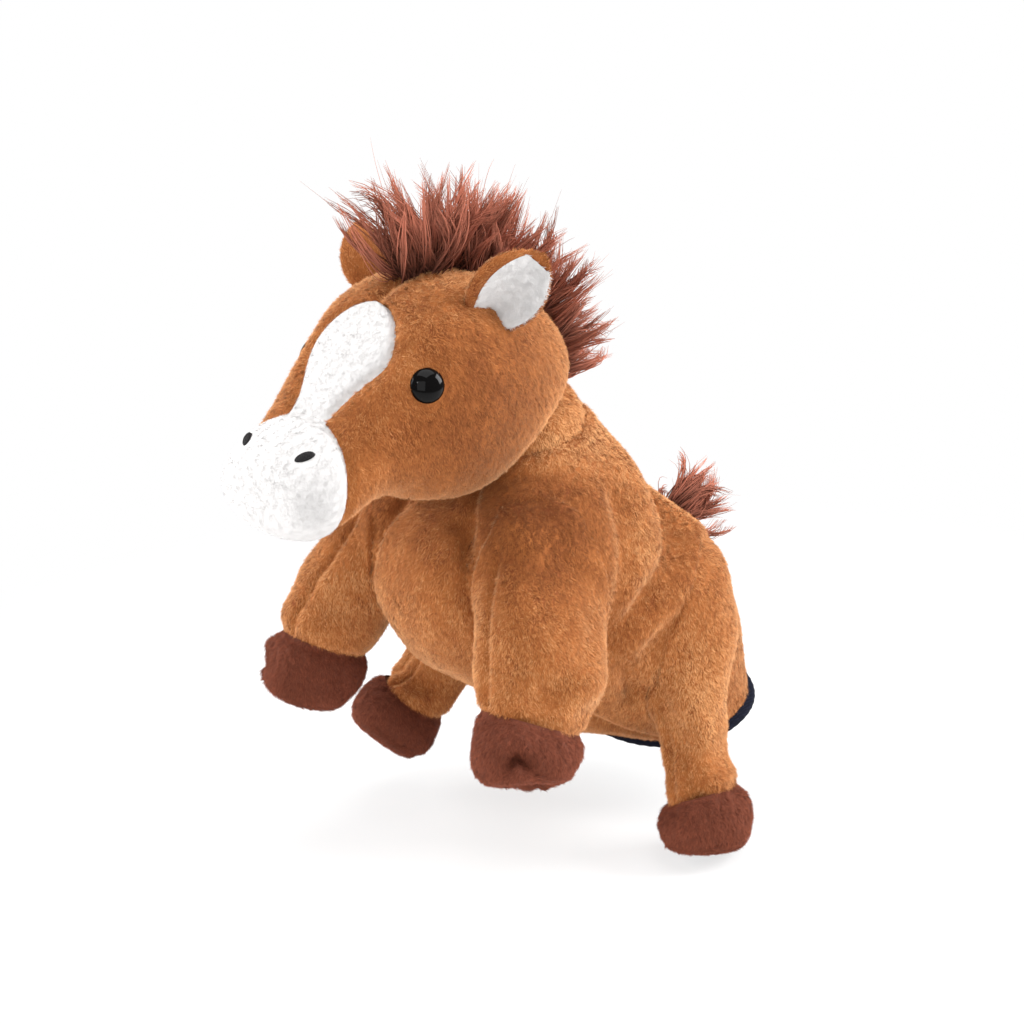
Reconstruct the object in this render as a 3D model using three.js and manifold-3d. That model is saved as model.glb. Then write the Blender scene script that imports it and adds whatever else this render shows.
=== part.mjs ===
// A plush horse hand puppet: a hollow body for the hand, a stuffed head with a finger pocket, two hollow
// front legs for fingers, two stuffed hind legs, ears, mane and tail.
// Millimetres. The horse looks along -Y, +X is its left side, +Z is up, and the origin is the middle of the
// hand opening.

import * as THREE from 'three';
import { mergeVertices } from 'three/addons/utils/BufferGeometryUtils.js';
import Module from 'manifold-3d';

const wasm = await Module();
wasm.setup();

// Cloth and clearances
const PLUSH = 3; // plush with its pile pressed flat
const LINING = 1.2; // lining cloth
const SEAM_GAP = 0.3; // between two pieces that are sewn to each other
const SWING_GAP = 0.5; // between a piece and what it swings against
const FULLNESS = 2.15; // roundness of a stuffed section: 2 is an ellipse, more is fuller

// Neck: a ball-shaped sleeve, so that the head turns and nods on it
const NECK_FORWARD = 80;
const NECK_UP = 116;
const NECK_RADIUS = 27.5;
const NECK_LEAN = 15; // lean of the neck towards the front, in degrees
const NECK_REACH = 40; // how far the sleeve reaches past its middle into body and head, in degrees
const COLLAR_EASE = 3; // from the neck sleeve out to the edge of the body's collar
const collarRadius = NECK_RADIUS + COLLAR_EASE;
const collarForward = collarRadius * Math.cos(THREE.MathUtils.degToRad(NECK_LEAN));
const collarDrop = collarRadius * Math.sin(THREE.MathUtils.degToRad(NECK_LEAN));

// Torso rings from the collar to the hand opening:
// spine forward and up, breast or belly forward and up, half width
const TORSO = [
  [
    NECK_FORWARD - collarForward, NECK_UP + collarDrop,
    NECK_FORWARD + collarForward, NECK_UP - collarDrop, collarRadius,
  ],
  [39, 110, 125, 90, 41],
  [19, 89, 130, 68, 48.5],
  [-3, 69, 117, 44, 50],
  [-18, 45, 85, 20, 46],
  [-24, 26, 54, 2, 41],
  [-26, 9, 26, -9, 37.5],
];
const BREAST_AT_NECK = 24; // half the angle that the breast panel takes of the neck ring
const BREAST_AT_OPENING = 40; // half the angle that it takes of the hand opening
const BINDING_HEIGHT = 4.5;

// Head rings from the nape to the nose tip: top forward and up, jaw forward and up, half width
const HEAD = [
  [62, 136, 80, 126, 12],
  [68, 157, 93, 116, 25],
  [88, 175, 113, 105, 33.5],
  [113, 183, 132, 107, 36.5],
  [136, 179, 147, 112, 33.5],
  [156, 163, 158, 111.5, 28.5],
  [170, 147, 169, 108, 26.5],
  [183, 138, 180, 105, 25.5],
  [192, 130, 189, 109, 19],
  [194, 122, 193, 116, 6],
];
const MUZZLE_SEAM = 175.5; // how far forward the white muzzle cap starts
const BLAZE_TOP = 4.22; // head ring where the blaze ends at the forehead
const BLAZE_FOOT = 6.1; // head ring where the blaze meets the muzzle
const BLAZE_HALF = 19; // half width at the forehead
const BLAZE_NARROW = 9.5; // half width at the muzzle
const BLAZE_ARCH = 17; // height of its round top

// Finger pocket in the head
const POCKET_RADIUS = 13;
const POCKET_DEPTH = 52; // from the middle of the neck to the end of the finger pocket
const POCKET_LEAN = 30;

// Face
const EYE_RING = 4.38;
const EYE_AROUND = 71; // degrees from the top of the head
const EYE_DIAMETER = 12;
const EYE_HEIGHT = 4.6;
const EYE_SHANK = 4;
const EYE_SHANK_LENGTH = 9;
const WASHER_DIAMETER = 13;
const WASHER_THICKNESS = 1.6;
const NOSTRIL_RING = 7.15;
const NOSTRIL_AROUND = 32;
const NOSTRIL_LENGTH = 7.4;
const NOSTRIL_WIDTH = 3.6;
const NOSTRIL_HEIGHT = 0.9;

// Ears: place on the head, the way they point and the way their white side faces (left, forward, up)
const EAR_RING = 2.85;
const EAR_AROUND = 42;
const EAR_POINTS = [0.57, -0.3, 0.76];
const EAR_FACES = [0.82, 0.3, -0.49];
const EAR_LENGTH = 28;
const EAR_WIDTH = 29;
const EAR_CUP = 5; // how far the rear edge curls towards the white side
const EAR_CURL = 8; // how far the front edge curls over it
const EAR_ROOT = 5; // length of the ear below the surface of the head, before it is trimmed to it

// Mane and tail
const MANE_FRONT = 3.6;
const MANE_END = 0.4;
const MANE_HALF_ANGLE = 9;
const MANE_BACKING = 2;
const MANE_LENGTH = 33;
const MANE_NAPE_LENGTH = 24;
const MANE_ROWS = 13;
const TAIL_RING = 3;
const TAIL_LENGTH = 27;
const TAIL_LEAN = 0.3; // backwards, against its way out of the body
const TAIL_ROOT = 5;
const TAIL_TUFTS = 13;
const TUFT_RADIUS = 2.8;
const TUFT_SIDES = 4;

// Leg rings from the top down: left, forward, up, half length fore and aft, half thickness
const FRONT_LEG = [
  [20, 88, 104, 13, 9],
  [31, 95, 92, 21, 15],
  [37.5, 102, 80, 25, 17.5],
  [43, 110, 65, 24.5, 17],
  [48, 117, 49, 22.5, 15.5],
  [51.5, 121, 38, 22, 15],
  [54, 124.5, 27, 22.5, 15.5],
  [55.5, 126, 18, 20, 13.5],
];
const HIND_LEG = [
  [26, 27, 78, 16, 10],
  [35, 28, 62, 21, 15],
  [41, 30, 42, 24, 17.5],
  [47, 33, 20, 20.5, 15.5],
  [53, 36, 0, 17.5, 14],
  [56.6, 38.4, -11.5, 18, 14],
  [59.5, 40.5, -21, 19.5, 15.5],
  [61, 42, -29, 18, 14],
];
const HOOF_RING = 5; // leg ring where the dark hoof starts
const SHOULDER_RING = 1.4; // front leg ring that it swings about
const HIP_RING = 1; // hind leg ring that it swings about
const FINGER_BORE = 22;
const FINGER_ENTRY = [10, 88, 84]; // left, forward, up: where a finger turns out of the body into a front leg
const DIMPLE_RADIUS = 5; // gathered dimple in the sole of a front hoof
const DIMPLE_DEPTH = 1.6;

// Motion, in degrees
const NOD = [-5, 30]; // down and up
const TURN = [-30, 30];
const EAR_FOLD = [-15, 30];
const TAIL_SWING = [-25, 35];
const FRONT_SWING = [-3, 40]; // back and forward
const FRONT_TOE_IN = 15; // a front leg swings inwards as well as forward
const HIND_SWING = [-30, 30]; // back and forward of hanging straight
const HIND_REST = { left: 0, right: 30 };
const SWEEP_STEP = 7.5; // between the poses that a swing is cleared at

// Smoothness
const TORSO_SIDES = 20;
const TORSO_RINGS = 9;
const HEAD_SIDES = 20;
const HEAD_RINGS = 12;
const LEG_SIDES = 12;
const LEG_RINGS = 7;
const ROUND = 14;
const PAST_END = 0.2; // rows by which a hollow runs past the form that it opens
const BEYOND = 300; // farther out than any piece reaches

const plush = (color) => new THREE.MeshStandardMaterial({ color, roughness: 0.95, metalness: 0 });
const plastic = (color, roughness) => new THREE.MeshStandardMaterial({ color, roughness, metalness: 0 });
const BROWN = plush(0xa86b3e);
const WHITE = plush(0xf0ecea);
const HOOF_BROWN = plush(0x5c2f22);
const MANE_BROWN = plush(0x7d4634);
const NAVY = plush(0x191d30);
const FILLING = plush(0xf4f3ee);
const THREAD = plush(0x221e20);
const EYE_BLACK = plastic(0x0b0909, 0.12);
const WASHER_WHITE = plastic(0xe6e4de, 0.5);

const SIDES = { left: 1, right: -1 };
const SWING_AXIS = new THREE.Vector3(-1, 0, 0);
const { degToRad } = THREE.MathUtils;
const place = (left, forward, up) => new THREE.Vector3(left, -forward, up);
const NECK = place(0, NECK_FORWARD, NECK_UP);

// Smooth curve through rows of numbers, at a row position between rows or a little past an end
function along(rows, at) {
  const i = THREE.MathUtils.clamp(Math.floor(at), 0, rows.length - 2);
  const t = at - i;
  const [b, c] = [rows[i], rows[i + 1]];
  const a = rows[i - 1] ?? b.map((value, k) => 2 * value - c[k]);
  const d = rows[i + 2] ?? c.map((value, k) => 2 * value - b[k]);
  return b.map((_, k) => {
    const slope = c[k] - a[k];
    const bend = 2 * a[k] - 5 * b[k] + 4 * c[k] - d[k];
    const twist = 3 * b[k] - a[k] - 3 * c[k] + d[k];
    return b[k] + 0.5 * (slope * t + bend * t * t + twist * t * t * t);
  });
}

const rounded = (value) => Math.sign(value) * Math.abs(value) ** (2 / FULLNESS);

// Point of a stuffed form: degrees around from its upper edge over its left side, grown by a thickness
function sheathPoint(rows, at, degrees, grow = 0) {
  const [f1, u1, f2, u2, half] = along(rows, at);
  const long = 1 + 2 * grow / Math.hypot(f1 - f2, u1 - u2);
  const h = 0.5 * long * rounded(Math.cos(degToRad(degrees)));
  const w = (half + grow) * rounded(Math.sin(degToRad(degrees)));
  return place(w, (f1 + f2) / 2 + (f1 - f2) * h, (u1 + u2) / 2 + (u1 - u2) * h);
}

const sheathRing = (rows, at, grow, sides) =>
  Array.from({ length: sides }, (_, j) => sheathPoint(rows, at, 360 * j / sides, grow));

const spread = ([low, high], count) =>
  Array.from({ length: count }, (_, i) => low + (high - low) * i / (count - 1));
const pastEnds = (stations) => [stations[0] - PAST_END, ...stations, stations.at(-1) + PAST_END];

// Outward direction of a stuffed form at one of its points
function outwards(rows, at, degrees) {
  const step = 0.02;
  const lengthwise = sheathPoint(rows, at + step, degrees).sub(sheathPoint(rows, at - step, degrees));
  const round = sheathPoint(rows, at, degrees + 1).sub(sheathPoint(rows, at, degrees - 1));
  const out = lengthwise.cross(round).normalize();
  const [f1, u1, f2, u2] = along(rows, at);
  const middle = place(0, (f1 + f2) / 2, (u1 + u2) / 2);
  return out.dot(sheathPoint(rows, at, degrees).sub(middle)) < 0 ? out.negate() : out;
}

// Oval ring of a leg, square to its path, with its long axis fore and aft
function limbRing(rows, at, grow, sides = LEG_SIDES) {
  const [left, forward, up, long, thick] = along(rows, at);
  const middle = place(left, forward, up);
  const ahead = place(...along(rows, at + 0.01)).sub(middle).normalize();
  const wide = place(0, 1, 0);
  wide.addScaledVector(ahead, -wide.dot(ahead)).normalize();
  const across = ahead.clone().cross(wide);
  return Array.from({ length: sides }, (_, j) => {
    const angle = 2 * Math.PI * j / sides;
    const point = middle.clone().addScaledVector(wide, (long + grow) * Math.cos(angle));
    return point.addScaledVector(across, (thick + grow) * Math.sin(angle));
  });
}

const limb = (rows, stations, grow = 0) => stations.map((at) => limbRing(rows, at, grow));

// Rows of a leg that a length in millimetres spans at one place
const legRows = (rows, at, length) =>
  0.01 * length / place(...along(rows, at + 0.01)).distanceTo(place(...along(rows, at)));

// Closed surface through rings of points, with ends that are zipped across from the two halves of the ring
function skin(rings) {
  const sides = rings[0].length;
  const points = rings.flat();
  const faces = [];
  const corner = (i, j) => i * sides + j % sides;
  for (let i = 0; i + 1 < rings.length; i++) {
    for (let j = 0; j < sides; j++) {
      faces.push(corner(i, j), corner(i + 1, j), corner(i + 1, j + 1));
      faces.push(corner(i, j), corner(i + 1, j + 1), corner(i, j + 1));
    }
  }
  for (const i of [0, rings.length - 1]) {
    const face = (...corners) => {
      faces.push(...(i === 0 ? corners : corners.reverse()).map((j) => corner(i, j)));
    };
    for (let low = 0, high = sides - 1; high - low > 1; low++, high--) {
      face(low, low + 1, high);
      if (high - low > 2) {
        face(low + 1, high - 1, high);
      }
    }
  }
  const geometry = new THREE.BufferGeometry().setFromPoints(points);
  geometry.setIndex(faces);
  return geometry;
}

// Solid of a closed surface, with its faces turned outwards
function solid(geometry) {
  const bare = geometry.clone();
  bare.deleteAttribute('normal');
  bare.deleteAttribute('uv');
  const merged = mergeVertices(bare, 1e-4);
  const corners = [];
  for (let i = 0; i < merged.index.count; i += 3) {
    const face = [0, 1, 2].map((k) => merged.index.getX(i + k));
    if (new Set(face).size === 3) {
      corners.push(...face);
    }
  }
  const vertProperties = Float32Array.from(merged.attributes.position.array);
  const build = (list) =>
    new wasm.Manifold(new wasm.Mesh({ numProp: 3, vertProperties, triVerts: Uint32Array.from(list) }));
  const made = build(corners);
  return made.volume() > 0 ? made : build(corners.reverse());
}

const form = (rings) => solid(skin(rings));
const cut = (body, ...tools) => tools.flat().reduce((left, tool) => left.subtract(tool), body);
const biggest = (body) => body.decompose().sort((a, b) => b.volume() - a.volume())[0];

function piece(name, body, material) {
  const { vertProperties, triVerts } = body.getMesh();
  const geometry = new THREE.BufferGeometry();
  geometry.setAttribute('position', new THREE.BufferAttribute(vertProperties, 3));
  geometry.setIndex(new THREE.BufferAttribute(triVerts, 1));
  geometry.computeVertexNormals();
  const mesh = new THREE.Mesh(geometry, material);
  mesh.name = name;
  return mesh;
}

// Block of space between two corners, given as left, forward, up
function block(low, high) {
  const size = high.map((value, k) => value - low[k]);
  const middle = high.map((value, k) => (value + low[k]) / 2);
  return solid(new THREE.BoxGeometry(...size).translate(middle[0], -middle[1], middle[2]));
}

// All the space on one side of the middle seam
function halfSpace(side) {
  const edges = [side * SEAM_GAP / 2, side * BEYOND].sort((a, b) => a - b);
  return block([edges[0], -BEYOND, -BEYOND], [edges[1], BEYOND, BEYOND]);
}

// Turned piece whose axis stands at a point along a direction, from a profile of radius and height
function turnedSolid(profile, point, direction, wide = new THREE.Vector3(1, 0, 0), stretch = [1, 1, 1]) {
  const up = direction.clone().normalize();
  const across = wide.clone().addScaledVector(up, -wide.dot(up)).normalize();
  const matrix = new THREE.Matrix4().makeBasis(across, up, across.clone().cross(up)).setPosition(point);
  const points = profile.map(([radius, height]) => new THREE.Vector2(radius, height));
  return solid(new THREE.LatheGeometry(points, ROUND).scale(...stretch).applyMatrix4(matrix));
}

const rod = (radius, low, high) => [[0, low], [radius, low], [radius, high], [0, high]];

function turnAbout(pivot, axis, degrees) {
  const matrix = new THREE.Matrix4().makeTranslation(pivot);
  matrix.multiply(new THREE.Matrix4().makeRotationAxis(axis, degToRad(degrees)));
  return matrix.multiply(new THREE.Matrix4().makeTranslation(pivot.clone().negate()));
}

const turned = (rings, matrix) =>
  rings.map((ring) => ring.map((point) => point.clone().applyMatrix4(matrix)));

// What a still form fills, seen from a piece that swings through a range against it
const sweep = ([low, high]) => spread([low, high], Math.ceil((high - low) / SWEEP_STEP) + 1);
const sweptPast = (rings, pivot, axis, range) =>
  sweep(range).map((angle) => form(turned(rings, turnAbout(pivot, axis, -angle))));

// Places of the rings along each form; what nests inside a form keeps the same places
const TORSO_END = TORSO.length - 1;
const LEG_END = FRONT_LEG.length - 1;
const torsoStations = spread([0, TORSO_END], TORSO_RINGS + 1);
const headStations = spread([0, HEAD.length - 1], HEAD_RINGS + 1);
const legStations = spread([0, HOOF_RING], LEG_RINGS + 1);
const torsoForm = (grow, stations = torsoStations) =>
  stations.map((at) => sheathRing(TORSO, at, grow, TORSO_SIDES));
const headForm = (grow, stations = headStations) =>
  stations.map((at) => sheathRing(HEAD, at, grow, HEAD_SIDES));
const neckAxis = new THREE.Vector3(0, 0, 1).applyAxisAngle(SWING_AXIS, -degToRad(NECK_LEAN));
const torsoAround = torsoForm(SWING_GAP);
const mirrored = (rows, side) => rows.map(([left, ...rest]) => [left * side, ...rest]);

// The space the neck ball needs, and the space the head needs as it nods and turns
const neckBall = new THREE.SphereGeometry(NECK_RADIUS + SWING_GAP, ROUND * 2, ROUND);
const neckRoom = solid(neckBall.translate(...NECK));
const headPoses = sweep(TURN).flatMap((turn) => NOD.map((nod) => {
  const pose = turnAbout(NECK, neckAxis, turn).multiply(turnAbout(NECK, SWING_AXIS, nod));
  return turned(headForm(SWING_GAP), pose);
}));
const headRoom = headPoses.map(form);

// Way of a finger from the body into a front leg
function fingerWay(side) {
  const bore = [FINGER_BORE / 2, FINGER_BORE / 2];
  const knees = FRONT_LEG.slice(3, 5).map((row) => row.slice(0, 3));
  const rows = [FINGER_ENTRY, ...knees].map((row) => [...row, ...bore]);
  return form(limb(mirrored(rows, side), spread([0, 2], LEG_RINGS)));
}

// Part of the body that the breast and belly panel covers, wider or narrower by a margin on each side
function breastZone(margin) {
  const rings = pastEnds(torsoStations).map((at) => {
    const [f1, u1, f2, u2, half] = along(TORSO, at);
    const share = at / TORSO_END;
    const angle = BREAST_AT_NECK + (BREAST_AT_OPENING - BREAST_AT_NECK) * share;
    const wider = angle + THREE.MathUtils.radToDeg(margin / half);
    const edge = spread([180 - wider, 180 + wider], 7);
    const middle = place(0, (f1 + f2) / 2, (u1 + u2) / 2);
    return [middle, ...edge.map((degrees) => sheathPoint(TORSO, at, degrees, half / 4))];
  });
  return form(rings);
}

function makeTorso() {
  const ways = Object.values(SIDES).map(fingerWay);
  const hollow = form(torsoForm(-PLUSH, pastEnds(torsoStations)));
  const shell = cut(form(torsoForm(0)), hollow, neckRoom, headRoom, ways);
  const breast = biggest(shell.intersect(breastZone(-SEAM_GAP / 2)));
  const rest = cut(shell, breastZone(SEAM_GAP / 2));
  const sidePanel = (name, side) => piece(name, biggest(rest.intersect(halfSpace(side))), BROWN);
  const inset = -PLUSH - SEAM_GAP;
  const lined = torsoStations.slice(1);
  const sleeve = form(torsoForm(inset, lined));
  const inside = form(torsoForm(inset - LINING, pastEnds(lined)));
  const lining = biggest(cut(sleeve, inside, neckRoom, headRoom, ways));

  const centre = (at) => {
    const [f1, u1, f2, u2] = along(TORSO, at);
    return place(0, (f1 + f2) / 2, (u1 + u2) / 2);
  };
  const rowLength = centre(TORSO_END).distanceTo(centre(TORSO_END - 1));
  const start = TORSO_END + SEAM_GAP / rowLength;
  const hem = [start, start + BINDING_HEIGHT / rowLength];
  const band = form(torsoForm(LINING, hem));
  const mouth = form(torsoForm(inset - LINING, pastEnds(hem)));
  return [
    sidePanel('left_side_panel', SIDES.left),
    sidePanel('right_side_panel', SIDES.right),
    piece('breast_panel', breast, BROWN),
    piece('hand_lining', lining, NAVY),
    piece('opening_binding', cut(band, mouth), NAVY),
  ];
}

function makeNeck() {
  const arc = (radius) => spread([-NECK_REACH, NECK_REACH], 6).map((degrees) => {
    const angle = degToRad(degrees);
    return [radius * Math.cos(angle), radius * Math.sin(angle)];
  });
  const profile = [...arc(NECK_RADIUS), ...arc(NECK_RADIUS - PLUSH).reverse()];
  return [piece('neck_sleeve', turnedSolid([...profile, profile[0]], NECK, neckAxis), BROWN)];
}

// Eye, its washer, and the holes that they need, as seen from the surface of one side of the head
function makeEye(name, side) {
  const around = EYE_AROUND * side;
  const out = outwards(HEAD, EYE_RING, around);
  const seat = sheathPoint(HEAD, EYE_RING, around, SEAM_GAP);
  const radius = EYE_DIAMETER / 2;
  const rim = EYE_HEIGHT / 6;
  const dome = spread([0, 90], 5).map((degrees) => {
    const angle = degToRad(degrees);
    return [radius * Math.cos(angle), rim + (EYE_HEIGHT - rim) * Math.sin(angle)];
  });
  dome.at(-1)[0] = 0;
  const shank = EYE_SHANK / 2;
  const end = -EYE_SHANK_LENGTH;
  const eye = turnedSolid([[0, end], [shank, end], [shank, 0], [radius - rim, 0], ...dome], seat, out);

  const washerRadius = WASHER_DIAMETER / 2;
  const top = -PLUSH - 2 * SEAM_GAP;
  const bottom = top - WASHER_THICKNESS;
  const bore = shank + SEAM_GAP;
  const ring = [[bore, bottom], [washerRadius, bottom], [washerRadius, top], [bore, top], [bore, bottom]];
  const holes = [
    turnedSolid(rod(bore, end - SEAM_GAP, EYE_HEIGHT), seat, out),
    turnedSolid(rod(washerRadius + SEAM_GAP, bottom - SEAM_GAP, top + SEAM_GAP), seat, out),
  ];
  const pieces = [
    piece(`${name}_eye`, eye, EYE_BLACK),
    piece(`${name}_eye_washer`, turnedSolid(ring, seat, out), WASHER_WHITE),
  ];
  return { pieces, shankHole: holes[0], washerRoom: holes[1] };
}

function makeNostril(name, side) {
  const around = NOSTRIL_AROUND * side;
  const seat = sheathPoint(HEAD, NOSTRIL_RING, around, SEAM_GAP);
  const out = outwards(HEAD, NOSTRIL_RING, around);
  const slant = place(0.58 * side, -0.74, 0.35);
  const profile = [[0, 0], [1, 0], [0.92, 0.55], [0.6, 0.9], [0, 1]];
  const stretch = [NOSTRIL_LENGTH / 2, NOSTRIL_HEIGHT, NOSTRIL_WIDTH / 2];
  return piece(`${name}_nostril`, turnedSolid(profile, seat, out, slant, stretch), THREAD);
}

// Blaze outline, carried through the face, grown by a margin
function blazeThrough(margin) {
  const top = sheathPoint(HEAD, BLAZE_TOP, 0);
  const foot = sheathPoint(HEAD, BLAZE_FOOT, 0);
  const length = top.distanceTo(foot);
  const half = BLAZE_HALF + margin;
  const narrow = BLAZE_NARROW + margin;
  const shoulder = length - BLAZE_ARCH;
  const outline = new THREE.Shape();
  outline.moveTo(-narrow, -length / 2);
  outline.lineTo(narrow, -length / 2);
  outline.lineTo(narrow, 0);
  outline.quadraticCurveTo(half, shoulder / 2, half, shoulder);
  outline.absellipse(0, shoulder, half, BLAZE_ARCH + margin, 0, Math.PI);
  outline.quadraticCurveTo(-half, shoulder / 2, -narrow, 0);
  const rise = top.clone().sub(foot).normalize();
  const left = new THREE.Vector3(1, 0, 0);
  const matrix = new THREE.Matrix4().makeBasis(left, rise, left.clone().cross(rise)).setPosition(foot);
  const depth = length;
  const geometry = new THREE.ExtrudeGeometry(outline, { depth, bevelEnabled: false, curveSegments: 8 });
  return solid(geometry.translate(0, 0, -depth / 2).applyMatrix4(matrix));
}

function makeHead() {
  const eyes = Object.entries(SIDES).map(([name, side]) => makeEye(name, side));
  const shankHoles = eyes.map((eye) => eye.shankHole);
  const washerRooms = eyes.map((eye) => eye.washerRoom);
  const hollow = headStations.slice(1, -1);
  const shell = cut(form(headForm(0)), form(headForm(-PLUSH, hollow)), neckRoom, shankHoles, washerRooms);
  const ahead = (forward) => block([-BEYOND, forward, -BEYOND], [BEYOND, BEYOND, BEYOND]);
  const muzzle = shell.intersect(ahead(MUZZLE_SEAM + SEAM_GAP / 2));
  const brow = cut(shell, ahead(MUZZLE_SEAM - SEAM_GAP / 2));
  const blaze = biggest(brow.intersect(blazeThrough(-SEAM_GAP / 2)));
  const cheeks = cut(brow, blazeThrough(SEAM_GAP / 2));
  const cheek = (name, side) => piece(name, biggest(cheeks.intersect(halfSpace(side))), BROWN);

  const pocketAxis = new THREE.Vector3(0, 0, 1).applyAxisAngle(SWING_AXIS, -degToRad(POCKET_LEAN));
  const mouth = Math.sqrt((NECK_RADIUS + SWING_GAP) ** 2 - POCKET_RADIUS ** 2);
  const outer = POCKET_RADIUS + LINING;
  const bevel = POCKET_RADIUS / 4;
  const pocketProfile = [
    [0, POCKET_DEPTH - LINING], [POCKET_RADIUS - bevel, POCKET_DEPTH - LINING],
    [POCKET_RADIUS, POCKET_DEPTH - LINING - bevel], [POCKET_RADIUS, mouth],
    [outer, mouth], [outer, POCKET_DEPTH - bevel], [outer - bevel, POCKET_DEPTH], [0, POCKET_DEPTH],
  ];
  const pocketRoom = turnedSolid(rod(outer + SEAM_GAP, 0, POCKET_DEPTH + SEAM_GAP), NECK, pocketAxis);
  const filling = form(headForm(-PLUSH - SEAM_GAP, hollow.slice(1, -1)));
  const stuffing = biggest(cut(filling, neckRoom, pocketRoom, shankHoles, washerRooms));
  return [
    cheek('left_head_panel', SIDES.left),
    cheek('right_head_panel', SIDES.right),
    piece('blaze', blaze, WHITE),
    piece('muzzle', biggest(muzzle), WHITE),
    piece('head_stuffing', stuffing, FILLING),
    piece('finger_pocket', turnedSolid(pocketProfile, NECK, pocketAxis), NAVY),
    ...eyes.flatMap((eye) => eye.pieces),
    makeNostril('left', SIDES.left),
    makeNostril('right', SIDES.right),
    makeMane(),
  ];
}

// Pointed tuft of long pile standing on a point
function tuft(point, direction, length) {
  const up = new THREE.Vector3(0, 1, 0);
  const stand = new THREE.Quaternion().setFromUnitVectors(up, direction.clone().normalize());
  const matrix = new THREE.Matrix4().makeRotationFromQuaternion(stand).setPosition(point);
  const cone = new THREE.ConeGeometry(TUFT_RADIUS, length, TUFT_SIDES).translate(0, length / 2, 0);
  return solid(cone.applyMatrix4(matrix));
}

// Mane: a strip of backing along the top seam with tufts that fan out and lean back
function makeMane() {
  const half = MANE_HALF_ANGLE;
  const strip = spread([MANE_FRONT, MANE_END], 12).map((at) => [
    ...[-half, 0, half].map((degrees) => sheathPoint(HEAD, at, degrees, SEAM_GAP)),
    ...[half, 0, -half].map((degrees) => sheathPoint(HEAD, at, degrees, SEAM_GAP + MANE_BACKING)),
  ]);
  let mane = form(strip);
  for (let i = 0; i < MANE_ROWS; i++) {
    const share = i / (MANE_ROWS - 1);
    const inset = 0.08;
    const at = MANE_FRONT - inset + (MANE_END - MANE_FRONT + 2 * inset) * share;
    const length = MANE_LENGTH + (MANE_NAPE_LENGTH - MANE_LENGTH) * share;
    for (const lane of [-1, 0, 1]) {
      const degrees = lane * half * 0.6;
      const foot = sheathPoint(HEAD, at, degrees, SEAM_GAP + MANE_BACKING / 2);
      const lean = 0.25 * Math.sin(2.4 * i + lane);
      const direction = outwards(HEAD, at, degrees).add(place(0.45 * lane + lean, -0.2 * lean, 0.1));
      mane = mane.add(tuft(foot, direction, length * (1 - 0.15 * Math.abs(lane))));
    }
  }
  return piece('mane', mane, MANE_BROWN);
}

// Ear: two cupped leaves, brown plush behind and white plush inside, that fold about the ear's root
function makeEar(name, side) {
  const root = sheathPoint(HEAD, EAR_RING, EAR_AROUND * side);
  const mirror = ([left, forward, up]) => place(left * side, forward, up);
  const axis = mirror(EAR_POINTS).normalize();
  const face = mirror(EAR_FACES);
  face.addScaledVector(axis, -face.dot(axis)).normalize();
  const wide = axis.clone().cross(face);
  const leaf = (outer, inner) => skin(spread([0, 0.97], 6).map((share) => {
    const half = EAR_WIDTH / 2 * Math.sin(Math.PI * (0.18 + 0.82 * share)) ** 0.6;
    const curl = (v) => (v * side < 0 ? EAR_CURL : EAR_CUP) * (1 - 0.5 * share) * v * v;
    const point = (v, depth) => root.clone()
      .addScaledVector(axis, -EAR_ROOT + (EAR_LENGTH + EAR_ROOT) * share)
      .addScaledVector(wide, half * v)
      .addScaledVector(face, depth + curl(v));
    const lanes = spread([-1, 1], 5);
    return [...lanes.map((v) => point(v, outer)), ...lanes.reverse().map((v) => point(v, inner))];
  }));
  const passed = sweptPast(headForm(SWING_GAP), root, wide, EAR_FOLD);
  const back = biggest(cut(solid(leaf(-PLUSH, -SEAM_GAP / 2)), passed));
  const front = biggest(cut(solid(leaf(PLUSH, SEAM_GAP / 2)), passed));
  return [piece(`${name}_ear_back`, back, BROWN), piece(`${name}_ear_lining`, front, WHITE)];
}

function makeTail() {
  const out = outwards(TORSO, TAIL_RING, 0);
  const root = sheathPoint(TORSO, TAIL_RING, 0, TAIL_ROOT / 2);
  let tail = solid(new THREE.SphereGeometry(TAIL_ROOT, TUFT_SIDES * 2, TUFT_SIDES).translate(...root));
  for (let i = 0; i < TAIL_TUFTS; i++) {
    const angle = i * Math.PI * (3 - Math.sqrt(5));
    const flare = 0.85 * Math.sqrt(i / TAIL_TUFTS);
    const direction = out.clone().add(place(flare * Math.cos(angle), -TAIL_LEAN, flare * Math.sin(angle)));
    tail = tail.add(tuft(root, direction, TAIL_LENGTH));
  }
  const passed = sweptPast(torsoAround, root, SWING_AXIS, TAIL_SWING);
  return [piece('tail', biggest(cut(tail, passed)), MANE_BROWN)];
}

// Hoof and sole at the end of a leg, set by the leg's own rows
function makeHoof(rows, pose) {
  const stations = spread([HOOF_RING + legRows(rows, HOOF_RING, SEAM_GAP), LEG_END], 4);
  const cap = form(turned(limb(rows, stations), pose));
  const hollow = form(turned(limb(rows, pastEnds(stations), -PLUSH), pose));
  const seat = LEG_END + legRows(rows, LEG_END, SEAM_GAP);
  const thick = legRows(rows, LEG_END, PLUSH);
  const sole = [[0, 0], [0.6, -PLUSH / 4], [1, -PLUSH]].map(([share, grow]) =>
    limbRing(rows, seat + thick * share, grow));
  return { stations, cap: cut(cap, hollow), sole: form(turned(sole, pose)), soleEnd: seat + thick };
}

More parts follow.
